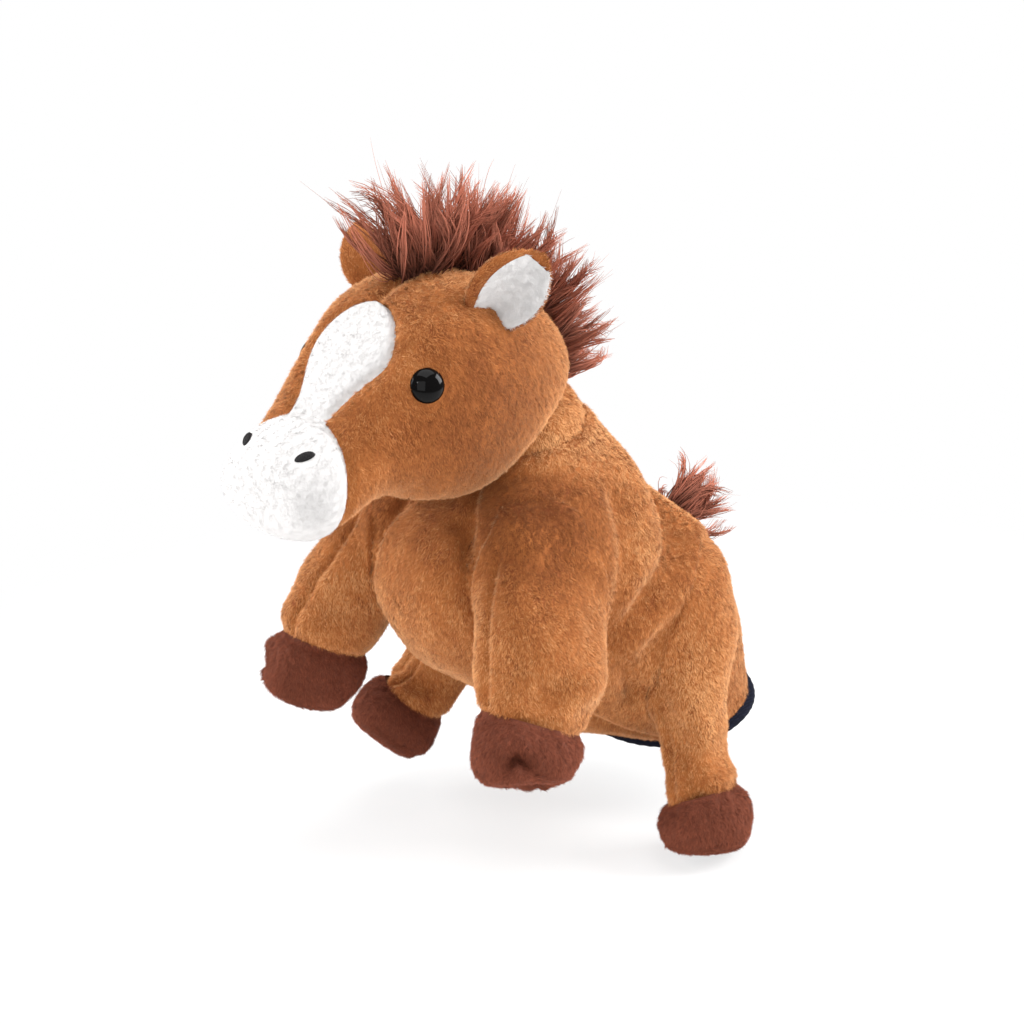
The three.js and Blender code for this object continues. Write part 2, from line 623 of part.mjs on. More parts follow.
function makeFrontLeg(name, side) {
  const rows = mirrored(FRONT_LEG, side);
  const still = new THREE.Matrix4();
  const pivot = place(...along(rows, SHOULDER_RING));
  const axis = new THREE.Vector3(-1, side * Math.tan(degToRad(FRONT_TOE_IN)), 0).normalize();
  const passed = [torsoAround, ...headPoses].flatMap((rings) => sweptPast(rings, pivot, axis, FRONT_SWING));
  const outer = form(limb(rows, legStations));
  const hollow = form(limb(rows, pastEnds(legStations), -PLUSH));
  const sleeve = biggest(cut(outer, hollow, passed, fingerWay(side)));
  const { stations, cap, sole, soleEnd } = makeHoof(rows, still);
  const tip = place(...along(rows, soleEnd));
  const down = tip.clone().sub(place(...along(rows, LEG_END))).normalize();
  const stretch = [DIMPLE_RADIUS, DIMPLE_DEPTH, DIMPLE_RADIUS / 2];
  const ball = [[0, -1], [0.7, -0.7], [1, 0], [0.7, 0.7], [0, 1]];
  const dimple = turnedSolid(ball, tip, down, place(0, 1, 0), stretch);
  const filling = form(limb(rows, [HOOF_RING - PAST_END, ...stations], -PLUSH - SEAM_GAP));
  return [
    piece(`${name}_front_leg`, sleeve, BROWN),
    piece(`${name}_front_hoof`, cap, HOOF_BROWN),
    piece(`${name}_front_sole`, cut(sole, dimple), HOOF_BROWN),
    piece(`${name}_front_stuffing`, filling, FILLING),
  ];
}

function makeHindLeg(name, side) {
  const rows = mirrored(HIND_LEG, side);
  const pivot = place(...along(rows, HIP_RING));
  const rest = HIND_REST[name];
  const pose = turnAbout(pivot, SWING_AXIS, rest);
  const range = HIND_SWING.map((angle) => angle - rest);
  const passed = sweptPast(torsoAround, pivot, SWING_AXIS, range);
  const outer = form(turned(limb(rows, legStations), pose));
  const hollow = form(turned(limb(rows, pastEnds(legStations), -PLUSH), pose));
  const { stations, cap, sole } = makeHoof(rows, pose);
  const filling = form(turned(limb(rows, [...legStations, ...stations], -PLUSH - SEAM_GAP), pose));
  return [
    piece(`${name}_hind_leg`, biggest(cut(outer, hollow, passed)), BROWN),
    piece(`${name}_hind_hoof`, cap, HOOF_BROWN),
    piece(`${name}_hind_sole`, sole, HOOF_BROWN),
    piece(`${name}_hind_stuffing`, biggest(cut(filling, passed)), FILLING),
  ];
}

const puppet = new THREE.Group();
puppet.add(...makeTorso(), ...makeNeck(), ...makeHead(), ...makeTail());
for (const [name, side] of Object.entries(SIDES)) {
  puppet.add(...makeEar(name, side), ...makeFrontLeg(name, side), ...makeHindLeg(name, side));
}

export default puppet;
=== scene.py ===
"""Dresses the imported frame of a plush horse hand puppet: short-pile plush on body, head, legs and ears, long
pile on mane and tail, glossy eyes, stitched nostrils and a navy lining, on a plain studio stage.

Shapes are worked out in millimetres, with +X the horse's left, -Y forward and +Z up, and stored in metres.
"""

import math

import bpy
import numpy as np
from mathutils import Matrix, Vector


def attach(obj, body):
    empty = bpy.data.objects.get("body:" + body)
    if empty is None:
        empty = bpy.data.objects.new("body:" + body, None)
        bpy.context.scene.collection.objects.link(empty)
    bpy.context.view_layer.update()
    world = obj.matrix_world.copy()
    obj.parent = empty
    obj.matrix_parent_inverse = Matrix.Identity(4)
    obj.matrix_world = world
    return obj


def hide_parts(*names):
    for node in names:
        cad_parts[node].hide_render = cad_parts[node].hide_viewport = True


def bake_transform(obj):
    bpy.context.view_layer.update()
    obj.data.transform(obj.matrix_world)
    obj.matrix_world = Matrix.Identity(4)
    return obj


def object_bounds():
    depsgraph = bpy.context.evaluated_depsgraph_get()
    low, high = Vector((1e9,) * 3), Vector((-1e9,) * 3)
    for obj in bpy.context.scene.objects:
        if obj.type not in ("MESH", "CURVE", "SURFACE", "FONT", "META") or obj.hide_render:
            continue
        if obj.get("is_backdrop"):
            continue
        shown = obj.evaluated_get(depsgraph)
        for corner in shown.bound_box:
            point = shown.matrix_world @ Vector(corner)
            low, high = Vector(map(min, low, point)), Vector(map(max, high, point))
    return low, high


bl_info = {
    "name": "Horse hand puppet",
    "version": (1, 0, 0),
    "blender": (4, 5, 0),
    "location": "View3D > Sidebar > Puppet",
    "description": "Dresses the frame of a horse hand puppet in plush, with its mane, tail, face and lining",
    "category": "Add Mesh",
}

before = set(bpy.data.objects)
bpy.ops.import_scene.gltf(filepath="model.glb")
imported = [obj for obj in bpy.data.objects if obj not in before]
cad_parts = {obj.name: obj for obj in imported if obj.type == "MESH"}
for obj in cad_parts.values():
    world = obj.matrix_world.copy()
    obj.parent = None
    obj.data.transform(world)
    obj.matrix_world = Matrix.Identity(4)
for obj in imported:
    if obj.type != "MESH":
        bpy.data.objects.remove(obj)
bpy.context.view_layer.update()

MM = 0.001
SIDES = {"left": 1, "right": -1}
LEFT = np.array([1.0, 0.0, 0.0])
DOWN = np.array([0.0, 0.0, -1.0])
FULLNESS = 2.15  # roundness of a stuffed section: 2 is an ellipse, more is fuller
FILL = {"body": 0.4, "head": 0.9, "ear": 0.3, "front": 0.5, "hind": 0.8, "hoof": 0.7, "binding": 0.2}
SEED = {
    "body": 100, "neck": 140, "head": 200, "blaze": 220, "muzzle": 230, "ear_back": 300, "ear_inner": 310,
    "leg": 400, "hoof": 460, "sole": 520, "mane": 71, "tail": 81,
}

# Rings of the body from the collar to the hand opening, and of the head from the nape to the nose tip:
# upper edge forward and up, lower edge forward and up, half width
TORSO = [
    [50.5, 123.9, 109.5, 108.1, 30.5],
    [39, 110, 125, 90, 41],
    [19, 89, 130, 68, 48.5],
    [-3, 69, 117, 44, 50],
    [-18, 45, 85, 20, 46],
    [-24, 26, 54, 2, 41],
    [-26, 9, 26, -9, 37.5],
]
HEAD = [
    [62, 136, 80, 126, 12],
    [68, 157, 93, 116, 25],
    [88, 175, 113, 105, 33.5],
    [113, 183, 132, 107, 36.5],
    [136, 179, 147, 112, 33.5],
    [156, 163, 158, 111.5, 28.5],
    [170, 147, 169, 108, 26.5],
    [183, 138, 180, 105, 25.5],
    [192, 130, 189, 109, 19],
    [194, 122, 193, 116, 6],
]
# Rings of a leg from the top down: left, forward, up, half length fore and aft, half thickness
FRONT_LEG = [
    [20, 88, 104, 13, 9],
    [31, 95, 92, 21, 15],
    [37.5, 102, 80, 25, 17.5],
    [43, 110, 65, 24.5, 17],
    [48, 117, 49, 22.5, 15.5],
    [51.5, 121, 38, 22, 15],
    [54, 124.5, 27, 22.5, 15.5],
    [55.5, 126, 18, 20, 13.5],
]
HIND_LEG = [
    [26, 38, 72, 9, 7],
    [34.5, 30, 62, 19, 14.5],
    [40, 33, 42, 21, 16.5],
    [45.5, 37, 20, 16.5, 14],
    [51, 39.5, 0, 14.5, 12.5],
    [56, 39.5, -11.5, 17, 13.5],
    [59.5, 40.5, -21, 19.5, 15.5],
    [61, 42, -29, 18, 14],
]
TORSO_END, HEAD_END, LEG_END, HOOF_RING = 6.0, 9.0, 7.0, 5.0
BREAST_AT_NECK, BREAST_AT_OPENING = math.radians(24), math.radians(40)
NECK = np.array([0.0, -80.0, 116.0])
NECK_RADIUS = 27.5
NECK_AXIS = np.array([0.0, -math.sin(math.radians(15)), math.cos(math.radians(15))])
OPENING_AXIS = np.array([0.0, 0.731, -0.682])


def linear(red, green, blue):
    """Scene-linear colour of an sRGB colour from 0 to 255."""
    shares = np.array([red, green, blue]) / 255
    return tuple(np.where(shares <= 0.04045, shares / 12.92, ((shares + 0.055) / 1.055) ** 2.4))


# Settings


def number(name, description, default, **more):
    """A property that holds a number."""
    return bpy.props.FloatProperty(name=name, description=description, default=default, **more)


def length(name, description, millimetres):
    """A length property, given in millimetres and kept in metres."""
    more = {"min": 0, "precision": 5, "subtype": "DISTANCE", "unit": "LENGTH"}
    return number(name, description, millimetres * MM, **more)


def angle(name, description, degrees):
    """An angle property, given in degrees and kept in radians."""
    return number(name, description, math.radians(degrees), subtype="ANGLE", unit="ROTATION")


def amount(name, description, default):
    """A property that holds a whole number."""
    return bpy.props.IntProperty(name=name, description=description, default=default, min=1)


def colour(name, description, *rgb):
    """A colour property, given in sRGB from 0 to 255 and kept scene-linear."""
    return bpy.props.FloatVectorProperty(
        name=name, description=description, default=linear(*rgb), size=3, min=0, max=1, subtype="COLOR",
    )


class PlushSettings(bpy.types.PropertyGroup):
    """Sizes of the short pile and of the sewing."""

    pile_length: length("Pile length", "Length of one fibre of the short pile", 1.7)
    pile_width: length("Fibre width", "Width of one fibre at its foot", 0.29)
    pile_inset: length("Pile inset", "How far the cloth lies below the outline, to leave room for pile", 0.8)
    pile_density: number("Pile density", "Fibres on a square millimetre of plush", 8.0, min=0.1, max=12)
    pile_lean: angle("Pile lean", "How far the pile leans over along its nap", 66)
    seam_depth: length("Seam depth", "How far a seam pulls the plush in", 1.8)
    seam_width: length("Seam width", "Width that a seam pulls in to each side", 2.4)
    flare: length("Flare", "Reach of the rounding where a leg grows out of the body", 16)


class ColourSettings(bpy.types.PropertyGroup):
    """Colours of the cloths."""

    # Painted shade: the darkest brown of the pile where the patches paint shade, also reached by random tone,
    # and the darker mottle of the brown cloth
    brown_shade_and_mottle: colour("Dark brown", "Brown plush where it is brushed dark", 112, 57, 27)
    brown: colour("Brown", "Brown plush", 180, 108, 56)
    # Painted highlight: the lightest brown of the pile where the patches paint highlight, also reached by
    # random tone
    brown_highlight_and_mottle: colour("Light brown", "Brown plush where it is brushed light", 236, 176, 118)
    brown_sheen: colour("Brown sheen", "Shine of the brown plush at a flat angle", 255, 207, 158)
    white: colour("White", "White plush", 208, 206, 205)
    white_sheen: colour("White sheen", "Shine of the white plush at a flat angle", 255, 255, 255)
    hoof: colour("Hoof", "Plush of the hooves", 122, 66, 48)
    mane: colour("Mane", "Long pile of mane and tail", 166, 102, 82)
    navy: colour("Navy", "Lining and binding", 20, 22, 36)
    eye: colour("Eye", "Plastic of the eyes", 8, 7, 7)
    thread: colour("Thread", "Thread of the nostrils", 26, 23, 25)


class HairSettings(bpy.types.PropertyGroup):
    """Sizes of mane and tail."""

    mane_length: length("Mane length", "Length of the mane on top of the head", 37)
    nape_length: length("Nape length", "Length of the mane at the nape", 29)
    tail_length: length("Tail length", "Length of the tail", 28)
    strand_width: length("Strand width", "Width of one strand at its root", 0.6)
    mane_locks: amount("Mane locks", "Locks in the mane", 230)
    tail_locks: amount("Tail locks", "Locks in the tail", 56)
    lock_strands: amount("Strands", "Strands in a lock", 18)


class StageSettings(bpy.types.PropertyGroup):
    """Camera and light."""

    azimuth: angle("Azimuth", "Camera's turn round the puppet", 45)
    elevation: angle("Elevation", "Camera's height over the horizon", 18)
    distance: length("Distance", "From the camera to the point it looks at", 1000)
    lens: number("Lens", "Focal length in millimetres", 91.05)
    aim: bpy.props.FloatVectorProperty(
        name="Aim", description="Point that the camera looks at", default=(-0.0655, -0.0137, 0.0594),
        subtype="TRANSLATION", unit="LENGTH",
    )
    top_light: number("Top light", "Power of the overhead softbox", 13)
    key_light: number("Key light", "Power of the softbox on the right", 24)
    left_light: number("Left light", "Power of the softbox on the left", 18)
    fill_light: number("Fill light", "Power of the softbox at the camera", 5)
    catch_light: number("Catch light", "Power of the small lamp in the eyes", 0.6)
    ambient: number("Ambient", "Light from all round", 0.38)


class PuppetSettings(bpy.types.PropertyGroup):
    """All settings of the puppet."""

    plush: bpy.props.PointerProperty(name="Plush", description="Plush and seams", type=PlushSettings)
    colours: bpy.props.PointerProperty(name="Colours", description="Colours", type=ColourSettings)
    hair: bpy.props.PointerProperty(name="Hair", description="Mane and tail", type=HairSettings)
    stage: bpy.props.PointerProperty(name="Stage", description="Camera and light", type=StageSettings)


def plush(name):
    """A length from the plush settings, in millimetres."""
    return getattr(bpy.context.scene.puppet.plush, name) / MM


# Forms


def bell(value, middle, width):
    """A bump of height 1 at the middle, that falls off like a bell on both sides."""
    return np.exp(-(((value - middle) / width) ** 2))


def ease(value):
    """From 0 to 1, flat at both ends."""
    share = np.clip(value, 0, 1)
    return share * share * (3 - 2 * share)


def unit(vectors):
    """Vectors of length 1."""
    return vectors / np.maximum(np.linalg.norm(vectors, axis=-1, keepdims=True), 1e-9)


def along(ways, sizes):
    """Ways of given sizes."""
    return ways * np.asarray(sizes)[..., None]


def rows_at(rows, at):
    """Smooth curve through rows of numbers (Catmull-Rom), at row positions. Its ends run on straight."""
    rows = np.asarray(rows, float)
    ends = np.vstack([2 * rows[0] - rows[1], rows, 2 * rows[-1] - rows[-2]])
    at = np.asarray(at, float)
    i = np.clip(np.floor(at).astype(int), 0, len(rows) - 2)
    t = (at - i)[..., None]
    a, b, c, d = (ends[i + k] for k in range(4))
    return b + 0.5 * t * ((c - a) + t * ((2 * a - 5 * b + 4 * c - d) + t * (3 * b - a - 3 * c + d)))


def full(value):
    """Sine or cosine of a superellipse of the puppet's fullness."""
    return np.sign(value) * np.abs(value) ** (2 / FULLNESS)


def sheath(rows, at, turn, grow=0.0):
    """Point of a stuffed form: on the ring at a row position, turned from its upper edge over its left side,
    with the ring a superellipse between upper and lower edge, grown by a thickness."""
    f1, u1, f2, u2, half = np.moveaxis(rows_at(rows, at), -1, 0)
    stretch = 1 + 2 * grow / np.hypot(f1 - f2, u1 - u2)
    high = 0.5 * stretch * full(np.cos(turn))
    wide = (half + grow) * full(np.sin(turn))
    forward = (f1 + f2) / 2 + (f1 - f2) * high
    up = (u1 + u2) / 2 + (u1 - u2) * high
    return np.stack(np.broadcast_arrays(wide, -forward, up), -1)


def middle_of(rows, at):
    """Middle of the ring at a row position."""
    f1, u1, f2, u2, _ = np.moveaxis(rows_at(rows, at), -1, 0)
    return np.stack(np.broadcast_arrays(0 * f1, -(f1 + f2) / 2, (u1 + u2) / 2), -1)


def half_width(rows, at):
    """Half width of the ring at a row position."""
    return rows_at(rows, at)[..., 4]


def run_along(rows, at):
    """How far the upper edge of a form has run at each of some row positions."""
    line = sheath(rows, at, 0 * at)
    return np.concatenate([[0], np.cumsum(np.linalg.norm(np.diff(line, axis=0), axis=-1))])


def limb(rows, at, turn, grow=0.0, sharp=0.0, step=0.01):
    """Point of a leg, middle of its ring and the leg's way down: an oval ring square to that way, its long
    axis fore and aft, turned from its front edge. A sharp leg is thinner towards its rear edge."""
    left, forward, up, long, thick = np.moveaxis(rows_at(rows, at), -1, 0)
    middle = np.stack([left, -forward, up], -1)
    ahead = unit((rows_at(rows, at + step) - rows_at(rows, at - step))[..., :3] * [1, -1, 1])
    front = np.array([0.0, -1.0, 0.0])
    front = unit(front - along(ahead, ahead @ front))
    across = np.cross(ahead, front)
    thinned = 1 - sharp * np.clip(-np.cos(turn), 0, 1) ** 1.5
    flat = (thick + grow) * full(np.sin(turn)) * thinned
    return middle + along(front, (long + grow) * full(np.cos(turn))) + along(across, flat), middle, ahead


def turned(points, pivot, axis, degrees):
    """Points turned about an axis through a pivot (Rodrigues' formula)."""
    radians, arm = math.radians(degrees), points - pivot
    level = along(axis, arm @ axis)
    return pivot + level + (arm - level) * math.cos(radians) + np.cross(axis, arm) * math.sin(radians)


def grid(rows, columns):
    """Two shares from 0 to 1 that run down the rows and along the columns of a grid."""
    return np.meshgrid(np.linspace(0, 1, rows), np.linspace(0, 1, columns), indexing="ij")


def turns(columns):
    """Angles of a full turn in even steps."""
    return np.arange(columns) * 2 * math.pi / columns


def ring_grid(rows, columns):
    """A share down the rows and an angle round the columns of a closed grid."""
    return np.meshgrid(np.linspace(0, 1, rows), turns(columns), indexing="ij")


def spokes(turn, side, other):
    """Ways out from an axis at given turns, from one side over another."""
    return along(side, np.cos(turn)) + along(other, np.sin(turn))


def lathe(profile, seat, axis, ways):
    """A profile of radius and height turned about an axis, with the ways out from it."""
    return seat + profile[:, 0, None, None] * ways[None] + profile[:, 1, None, None] * axis


def normals(points, inside, around=False):
    """Unit normals of a grid of points, from the cross product of its two directions, turned away from what
    is inside."""
    down = np.gradient(points, axis=0)
    if around:
        over = np.roll(points, -1, axis=1) - np.roll(points, 1, axis=1)
    else:
        over = np.gradient(points, axis=1)
    normal = unit(np.cross(down, over))
    return normal * (1 if np.mean(np.sum(normal * (points - inside), -1)) > 0 else -1)


def ripple(points, wavelength, seed, waves=20, shortest=0.7, longest=1.5):
    """A smooth random field, about -1 to 1: a sum of plane waves in random directions."""
    rng = np.random.default_rng(seed)
    direction = unit(rng.normal(size=(waves, 3)))
    pitch = 2 * math.pi * direction / (wavelength * rng.uniform(shortest, longest, (waves, 1)))
    phase = rng.uniform(0, 2 * math.pi, waves)
    return np.sin(points @ pitch.T + phase).sum(-1) * math.sqrt(2 / waves) / 1.5


def distance_to(points, path):
    """Shortest distance from points to a line through the points of a path."""
    best = np.full(points.shape[:-1], np.inf)
    for start, end in zip(path[:-1], path[1:]):
        step = end - start
        share = np.clip(((points - start) @ step) / (step @ step), 0, 1)
        best = np.minimum(best, np.linalg.norm(points - start - share[..., None] * step, axis=-1))
    return best


def fold(points, normal, path, width, depth, steps=24):
    """Points pressed in along a path on the surface, as a soft valley with a bell-shaped section."""
    away = distance_to(points, rows_at(path, np.linspace(0, len(path) - 1, steps)))
    return points - along(normal, depth * bell(away, 0, width))


def nearest(points, samples, part=1500):
    """For each point, the number of the nearest sample (in float32, in parts)."""
    flat = points.reshape(-1, 3).astype(np.float32)
    samples = samples.reshape(-1, 3).astype(np.float32)
    square = (samples**2).sum(-1)
    parts = np.array_split(flat, max(1, len(flat) // part))
    return np.concatenate([np.argmin(square - 2 * some @ samples.T, axis=1) for some in parts])


def joined(points, normal, form, reach=None, inside=7.0):
    """Points of one form moved to where it melts into another, and how far outside that one they were: the
    smooth union of two distances, which lifts both by the square of what is left of the reach. A form is
    samples, the ways out of them and their reach. Points deep inside the other form stay."""
    samples, outs, softness = form
    near = nearest(points, samples)
    away = np.sum((points.reshape(-1, 3) - samples[near]) * outs[near], -1).reshape(points.shape[:-1])
    out, soft = outs[near].reshape(points.shape), softness[near].reshape(away.shape)
    reach = soft if reach is None else reach
    share = np.clip(0.5 + 0.5 * away / reach, 0, 1)[..., None]
    lift = np.clip(reach - np.abs(away), 0, None) ** 2 / (4 * reach) * ease((away + inside) / inside)
    return points + along(unit(share * normal + (1 - share) * out), lift), away


# Meshes

UV_NAME = "OFBake"


def quads(rows, columns, around=False, closed=False):
    """Faces of a grid of points, four corners each. A grid that goes around joins its last column to the
    first, and a closed one its last row to the first."""
    i, j = np.meshgrid(np.arange(rows - (not closed)), np.arange(columns - (not around)), indexing="ij")
    below, beside = (i + 1) % rows * columns, (j + 1) % columns
    return np.stack([i * columns + j, below + j, below + beside, i * columns + beside], -1).reshape(-1, 4)


def mesh_object(name, points, faces, material, uv=None, normal=None):
    """Object of a mesh from points in millimetres and lists of faces with equal numbers of corners."""
    mesh = bpy.data.meshes.new(name)
    points = np.asarray(points, float).reshape(-1, 3) * MM
    groups = [group for group in faces if len(group)]
    corners = np.concatenate([group.ravel() for group in groups])
    sizes = np.concatenate([np.full(len(group), group.shape[1]) for group in groups])
    mesh.vertices.add(len(points))
    mesh.vertices.foreach_set("co", points.ravel())
    mesh.loops.add(len(corners))
    mesh.loops.foreach_set("vertex_index", corners.astype(np.int32))
    mesh.polygons.add(len(sizes))
    mesh.polygons.foreach_set("loop_start", np.concatenate([[0], np.cumsum(sizes)[:-1]]).astype(np.int32))
    if uv is not None:
        layer = mesh.uv_layers.new(name=UV_NAME)
        layer.data.foreach_set("uv", uv[corners].astype(np.float32).ravel())
    mesh.update(calc_edges=True)
    mesh.shade_smooth()
    if normal is not None:
        mesh.normals_split_custom_set_from_vertices(normal)
    mesh.materials.append(material)
    made = bpy.data.objects.new(name, mesh)
    bpy.context.scene.collection.objects.link(made)
    return made


def skin_object(name, points, normal, material, around=False, keep=None, caps=(), closed=False):
    """Object of a grid of points, with its faces turned along the normals. Caps close the first (0) or last
    (-1) row of a grid that goes around with a fan to its middle."""
    rows, columns = points.shape[:2]
    faces = quads(rows, columns, around, closed)
    flat = points.reshape(-1, 3)
    a, b, c = (flat[faces[:, k]] for k in range(3))
    facing = np.sum(np.cross(b - a, c - a) * normal.reshape(-1, 3)[faces[:, 0]], -1).sum()
    fans = []
    for cap in caps:
        ring = np.arange(columns) + (0 if cap == 0 else (rows - 1) * columns)
        hub = np.full(columns, len(flat))
        flat = np.vstack([flat, points[cap].mean(0)])
        fan = np.stack([hub, ring, np.roll(ring, -1)], -1)
        fans.append(fan if cap == 0 else fan[:, ::-1])
    if keep is not None:
        faces = faces[keep.reshape(-1)[faces].any(1)]
    groups = [faces, *fans]
    if facing < 0:
        groups = [group[:, ::-1] for group in groups]
    used = np.unique(np.concatenate([group.ravel() for group in groups]))
    place = np.zeros(len(flat), int)
    place[used] = np.arange(len(used))
    return mesh_object(name, flat[used], [place[group] for group in groups], material)


# Pile

UV_FOOT, UV_TIP = 0.03, 0.97  # heights of a fibre's foot and tip in its map
TINTS = 16  # shades that the fibres of a pile come in
TUFT, TUFT_HEIGHT, TUFT_SHADE, PATCH = 2.6, 3.0, 2.2, 9.0  # wavelengths at which the pile varies
# How much neighbours vary together and fibres on their own: way of combing, height and lean
COMB_VARIES, HEIGHT_VARIES, LEAN_VARIES = (0.45, 0.25), (0.14, 0.14), (0.16, 0.1)
MIDDLE_SHADE, PATCH_VARIES, TUFT_VARIES, FIBRE_VARIES = 0.48, 0.05, 0.06, 0.12
SHORTEST, SUNK, TWIST, WIDTHS = 0.3, 0.15, 0.25, (0.7, 1.2)
# How far the shading of fibres follows the cloth below them
SOFT = {"brown": 0.65, "white": 0.95, "hoof": 0.45}
# Painted shade and highlight on the brown plush: darker at shoulder and cheek, lighter on back, neck, head
# top, chest and legs; left, forward and up, radius and change of shade
SHADE_AND_HIGHLIGHT_PATCHES = [
    ([42, 104, 102], 22, -0.36),
    ([37, 122, 138], 34, -0.34),
    ([22, 58, 120], 22, 0.34),
    ([48, 62, 84], 11, 0.22),
    ([14, 146, 158], 14, 0.2),
    ([12, 18, 94], 24, 0.3),
    ([57, 42, 25], 26, 0.24),
    ([60, 116, 52], 20, 0.1),
    ([34, 134, 66], 18, 0.2),
    ([26, 88, 122], 15, 0.45),
    ([14, 118, 178], 14, 0.25),
]


def painted_shade_and_highlight(points):
    """Painted shade and highlight: how much lighter or darker the plush is painted, on both sides alike: a sum
    of soft round patches.
    """
    places = np.stack([np.abs(points[..., 0]), -points[..., 1], points[..., 2]], -1)
    return sum(
        change * bell(np.linalg.norm(places - place, axis=-1), 0, radius) for place, radius, change in SHADE_AND_HIGHLIGHT_PATCHES
    )


def tint(shade):
    """Middle of the column of the map that holds a shade from 0 to 1."""
    return (np.clip(np.floor(shade * TINTS), 0, TINTS - 1) + 0.5) / TINTS


def spread(points, normal, cover, rng, density):
    """Places spread evenly over the covered area of a grid of points, and the ways out there."""
    corners = (np.s_[:-1, :-1], np.s_[1:, :-1], np.s_[1:, 1:], np.s_[:-1, 1:])
    a, b, c, d = (points[corner] for corner in corners)
    area = 0.5 * np.linalg.norm(np.cross(c - a, d - b), axis=-1)
    if cover is not None:
        area = area * np.minimum.reduce([cover[corner] for corner in corners])
    total = np.cumsum(area.ravel())
    count = int(total[-1] * density)
    pick = (np.arange(count) + rng.random(count)) / count * total[-1]
    cell = np.minimum(np.searchsorted(total, pick), area.size - 1)
    i, j = cell // area.shape[1], cell % area.shape[1]
    s, t = rng.random((2, count, 1))
    shares = ((1 - s) * (1 - t), s * (1 - t), s * t, (1 - s) * t)
    foot, out = (
        sum(array[corner][i, j] * share for corner, share in zip(corners, shares))
        for array in (points, normal)
    )
    return foot, unit(out)


def pile(name, points, normal, nap, material, seed, around=False, cover=None, scale=1.0, soft=0.65):
    """Short pile on a grid of points. Each fibre is a pointed blade of one face that stands on the cloth and
    leans along the nap. Smooth random fields lean neighbours the same way, so that they gather in tufts. The
    map holds the shade across and foot to tip upwards."""
    rng = np.random.default_rng(seed)
    if around:
        points, normal = (np.concatenate([array, array[:, :1]], 1) for array in (points, normal))
        cover = None if cover is None else np.concatenate([cover, cover[:, :1]], 1)
    sizes = bpy.context.scene.puppet.plush
    foot, out = spread(points, normal, cover, rng, sizes.pile_density)
    count = len(foot)
    sway = np.stack([ripple(foot, TUFT, seed + k) for k in (1, 2, 3)], -1)
    comb = nap + COMB_VARIES[0] * sway + COMB_VARIES[1] * rng.normal(size=(count, 3))
    comb = unit(comb - along(out, np.sum(comb * out, -1)))
    tall = 1 + HEIGHT_VARIES[0] * ripple(foot, TUFT_HEIGHT, seed + 4)
    tall = tall + HEIGHT_VARIES[1] * rng.normal(size=count)
    tall = np.clip(plush("pile_length") * scale * tall, SHORTEST, None)[:, None]
    lean = sizes.pile_lean + LEAN_VARIES[0] * ripple(foot, TUFT, seed + 6)[:, None]
    lean = lean + LEAN_VARIES[1] * rng.normal(size=(count, 1))
    way = out * np.cos(lean) + comb * np.sin(lean)
    twist = TWIST * rng.normal(size=(count, 1))
    side = unit(np.cross(comb, out))
    side = (side * np.cos(twist) + np.cross(way, side) * np.sin(twist)) * plush("pile_width")
    side = side * rng.uniform(*WIDTHS, (count, 1))
    foot = foot - SUNK * out
    blade = np.stack([foot - side / 2, foot + side / 2, foot + tall * way], 1)
    faces = 3 * np.arange(count)[:, None] + np.arange(3)[None]
    # Painted shade and highlight from the patches, plus random tone of patches, tufts and single fibres
    shade = MIDDLE_SHADE + painted_shade_and_highlight(foot) + PATCH_VARIES * ripple(foot, PATCH, seed + 5)
    shade = shade + TUFT_VARIES * ripple(foot, TUFT_SHADE, seed + 6) + FIBRE_VARIES * rng.normal(size=count)
    uv = np.empty((count, 3, 2))
    uv[..., 0] = tint(shade)[:, None]
    uv[..., 1] = [UV_FOOT, UV_FOOT, UV_TIP]
    facing = np.cross(blade[:, 1] - blade[:, 0], blade[:, 2] - blade[:, 0])
    shading = np.repeat(unit(soft * out + (1 - soft) * unit(facing)), 3, axis=0)
    return mesh_object(name, blade.reshape(-1, 3), [faces], material, uv.reshape(-1, 2), shading)


def strands(name, roots, tips, bow, width, material, shade, segments=6, thinning=0.85):
    """Long pile. Each strand runs from root to tip on a curve that bows to one side (a parabola), as a
    three-sided tube that thins to a point."""
    count = len(roots)
    share = np.linspace(0, 1, segments + 1)[None, :, None]
    path = roots[:, None] * (1 - share) + tips[:, None] * share + bow[:, None] * 4 * share * (1 - share)
    ahead = unit(np.gradient(path, axis=1))
    aslant = np.array([0.31, 0.52, 0.79])
    side = unit(np.cross(ahead, aslant))
    other = np.cross(ahead, side)
    radius = width[:, None, None] / 2 * (1 - share**2 * thinning)
    rings = path[:, :, None] + radius[:, :, None] * spokes(turns(3), side[:, :, None], other[:, :, None])
    first = (np.arange(count) * 3 * (segments + 1))[:, None, None]
    faces = first + quads(segments + 1, 3, around=True)[None, :, ::-1]
    tip = first[:, 0] + 3 * segments + np.arange(3)[None]
    uv = np.empty((count, segments + 1, 3, 2))
    uv[..., 0] = tint(shade)[:, None, None]
    uv[..., 1] = UV_FOOT + (UV_TIP - UV_FOOT) * share
    return mesh_object(name, rings.reshape(-1, 3), [faces.reshape(-1, 4), tip], material, uv.reshape(-1, 2))


# Materials

# Piles: colours and factors of their shades from dark to light, factor at the foot (painted shade between the
# fibres), sheen and its colour
PILES = {
    "brown_pile": ([("brown_shade_and_mottle", 1), ("brown", 1), ("brown_highlight_and_mottle", 1)], 0.45, 1.0, "brown_sheen"),
    "white_pile": ([("white", 0.95), ("white", 1), ("white", 1.04)], 0.9, 0.2, "white_sheen"),
    "hoof_pile": ([("hoof", 0.45), ("hoof", 1), ("hoof", 1.7)], 0.4, 0.4, "hoof"),
    "hair": ([("mane", 0.5), ("mane", 1), ("mane", 1.5)], 0.15, 0.2, "mane"),
}
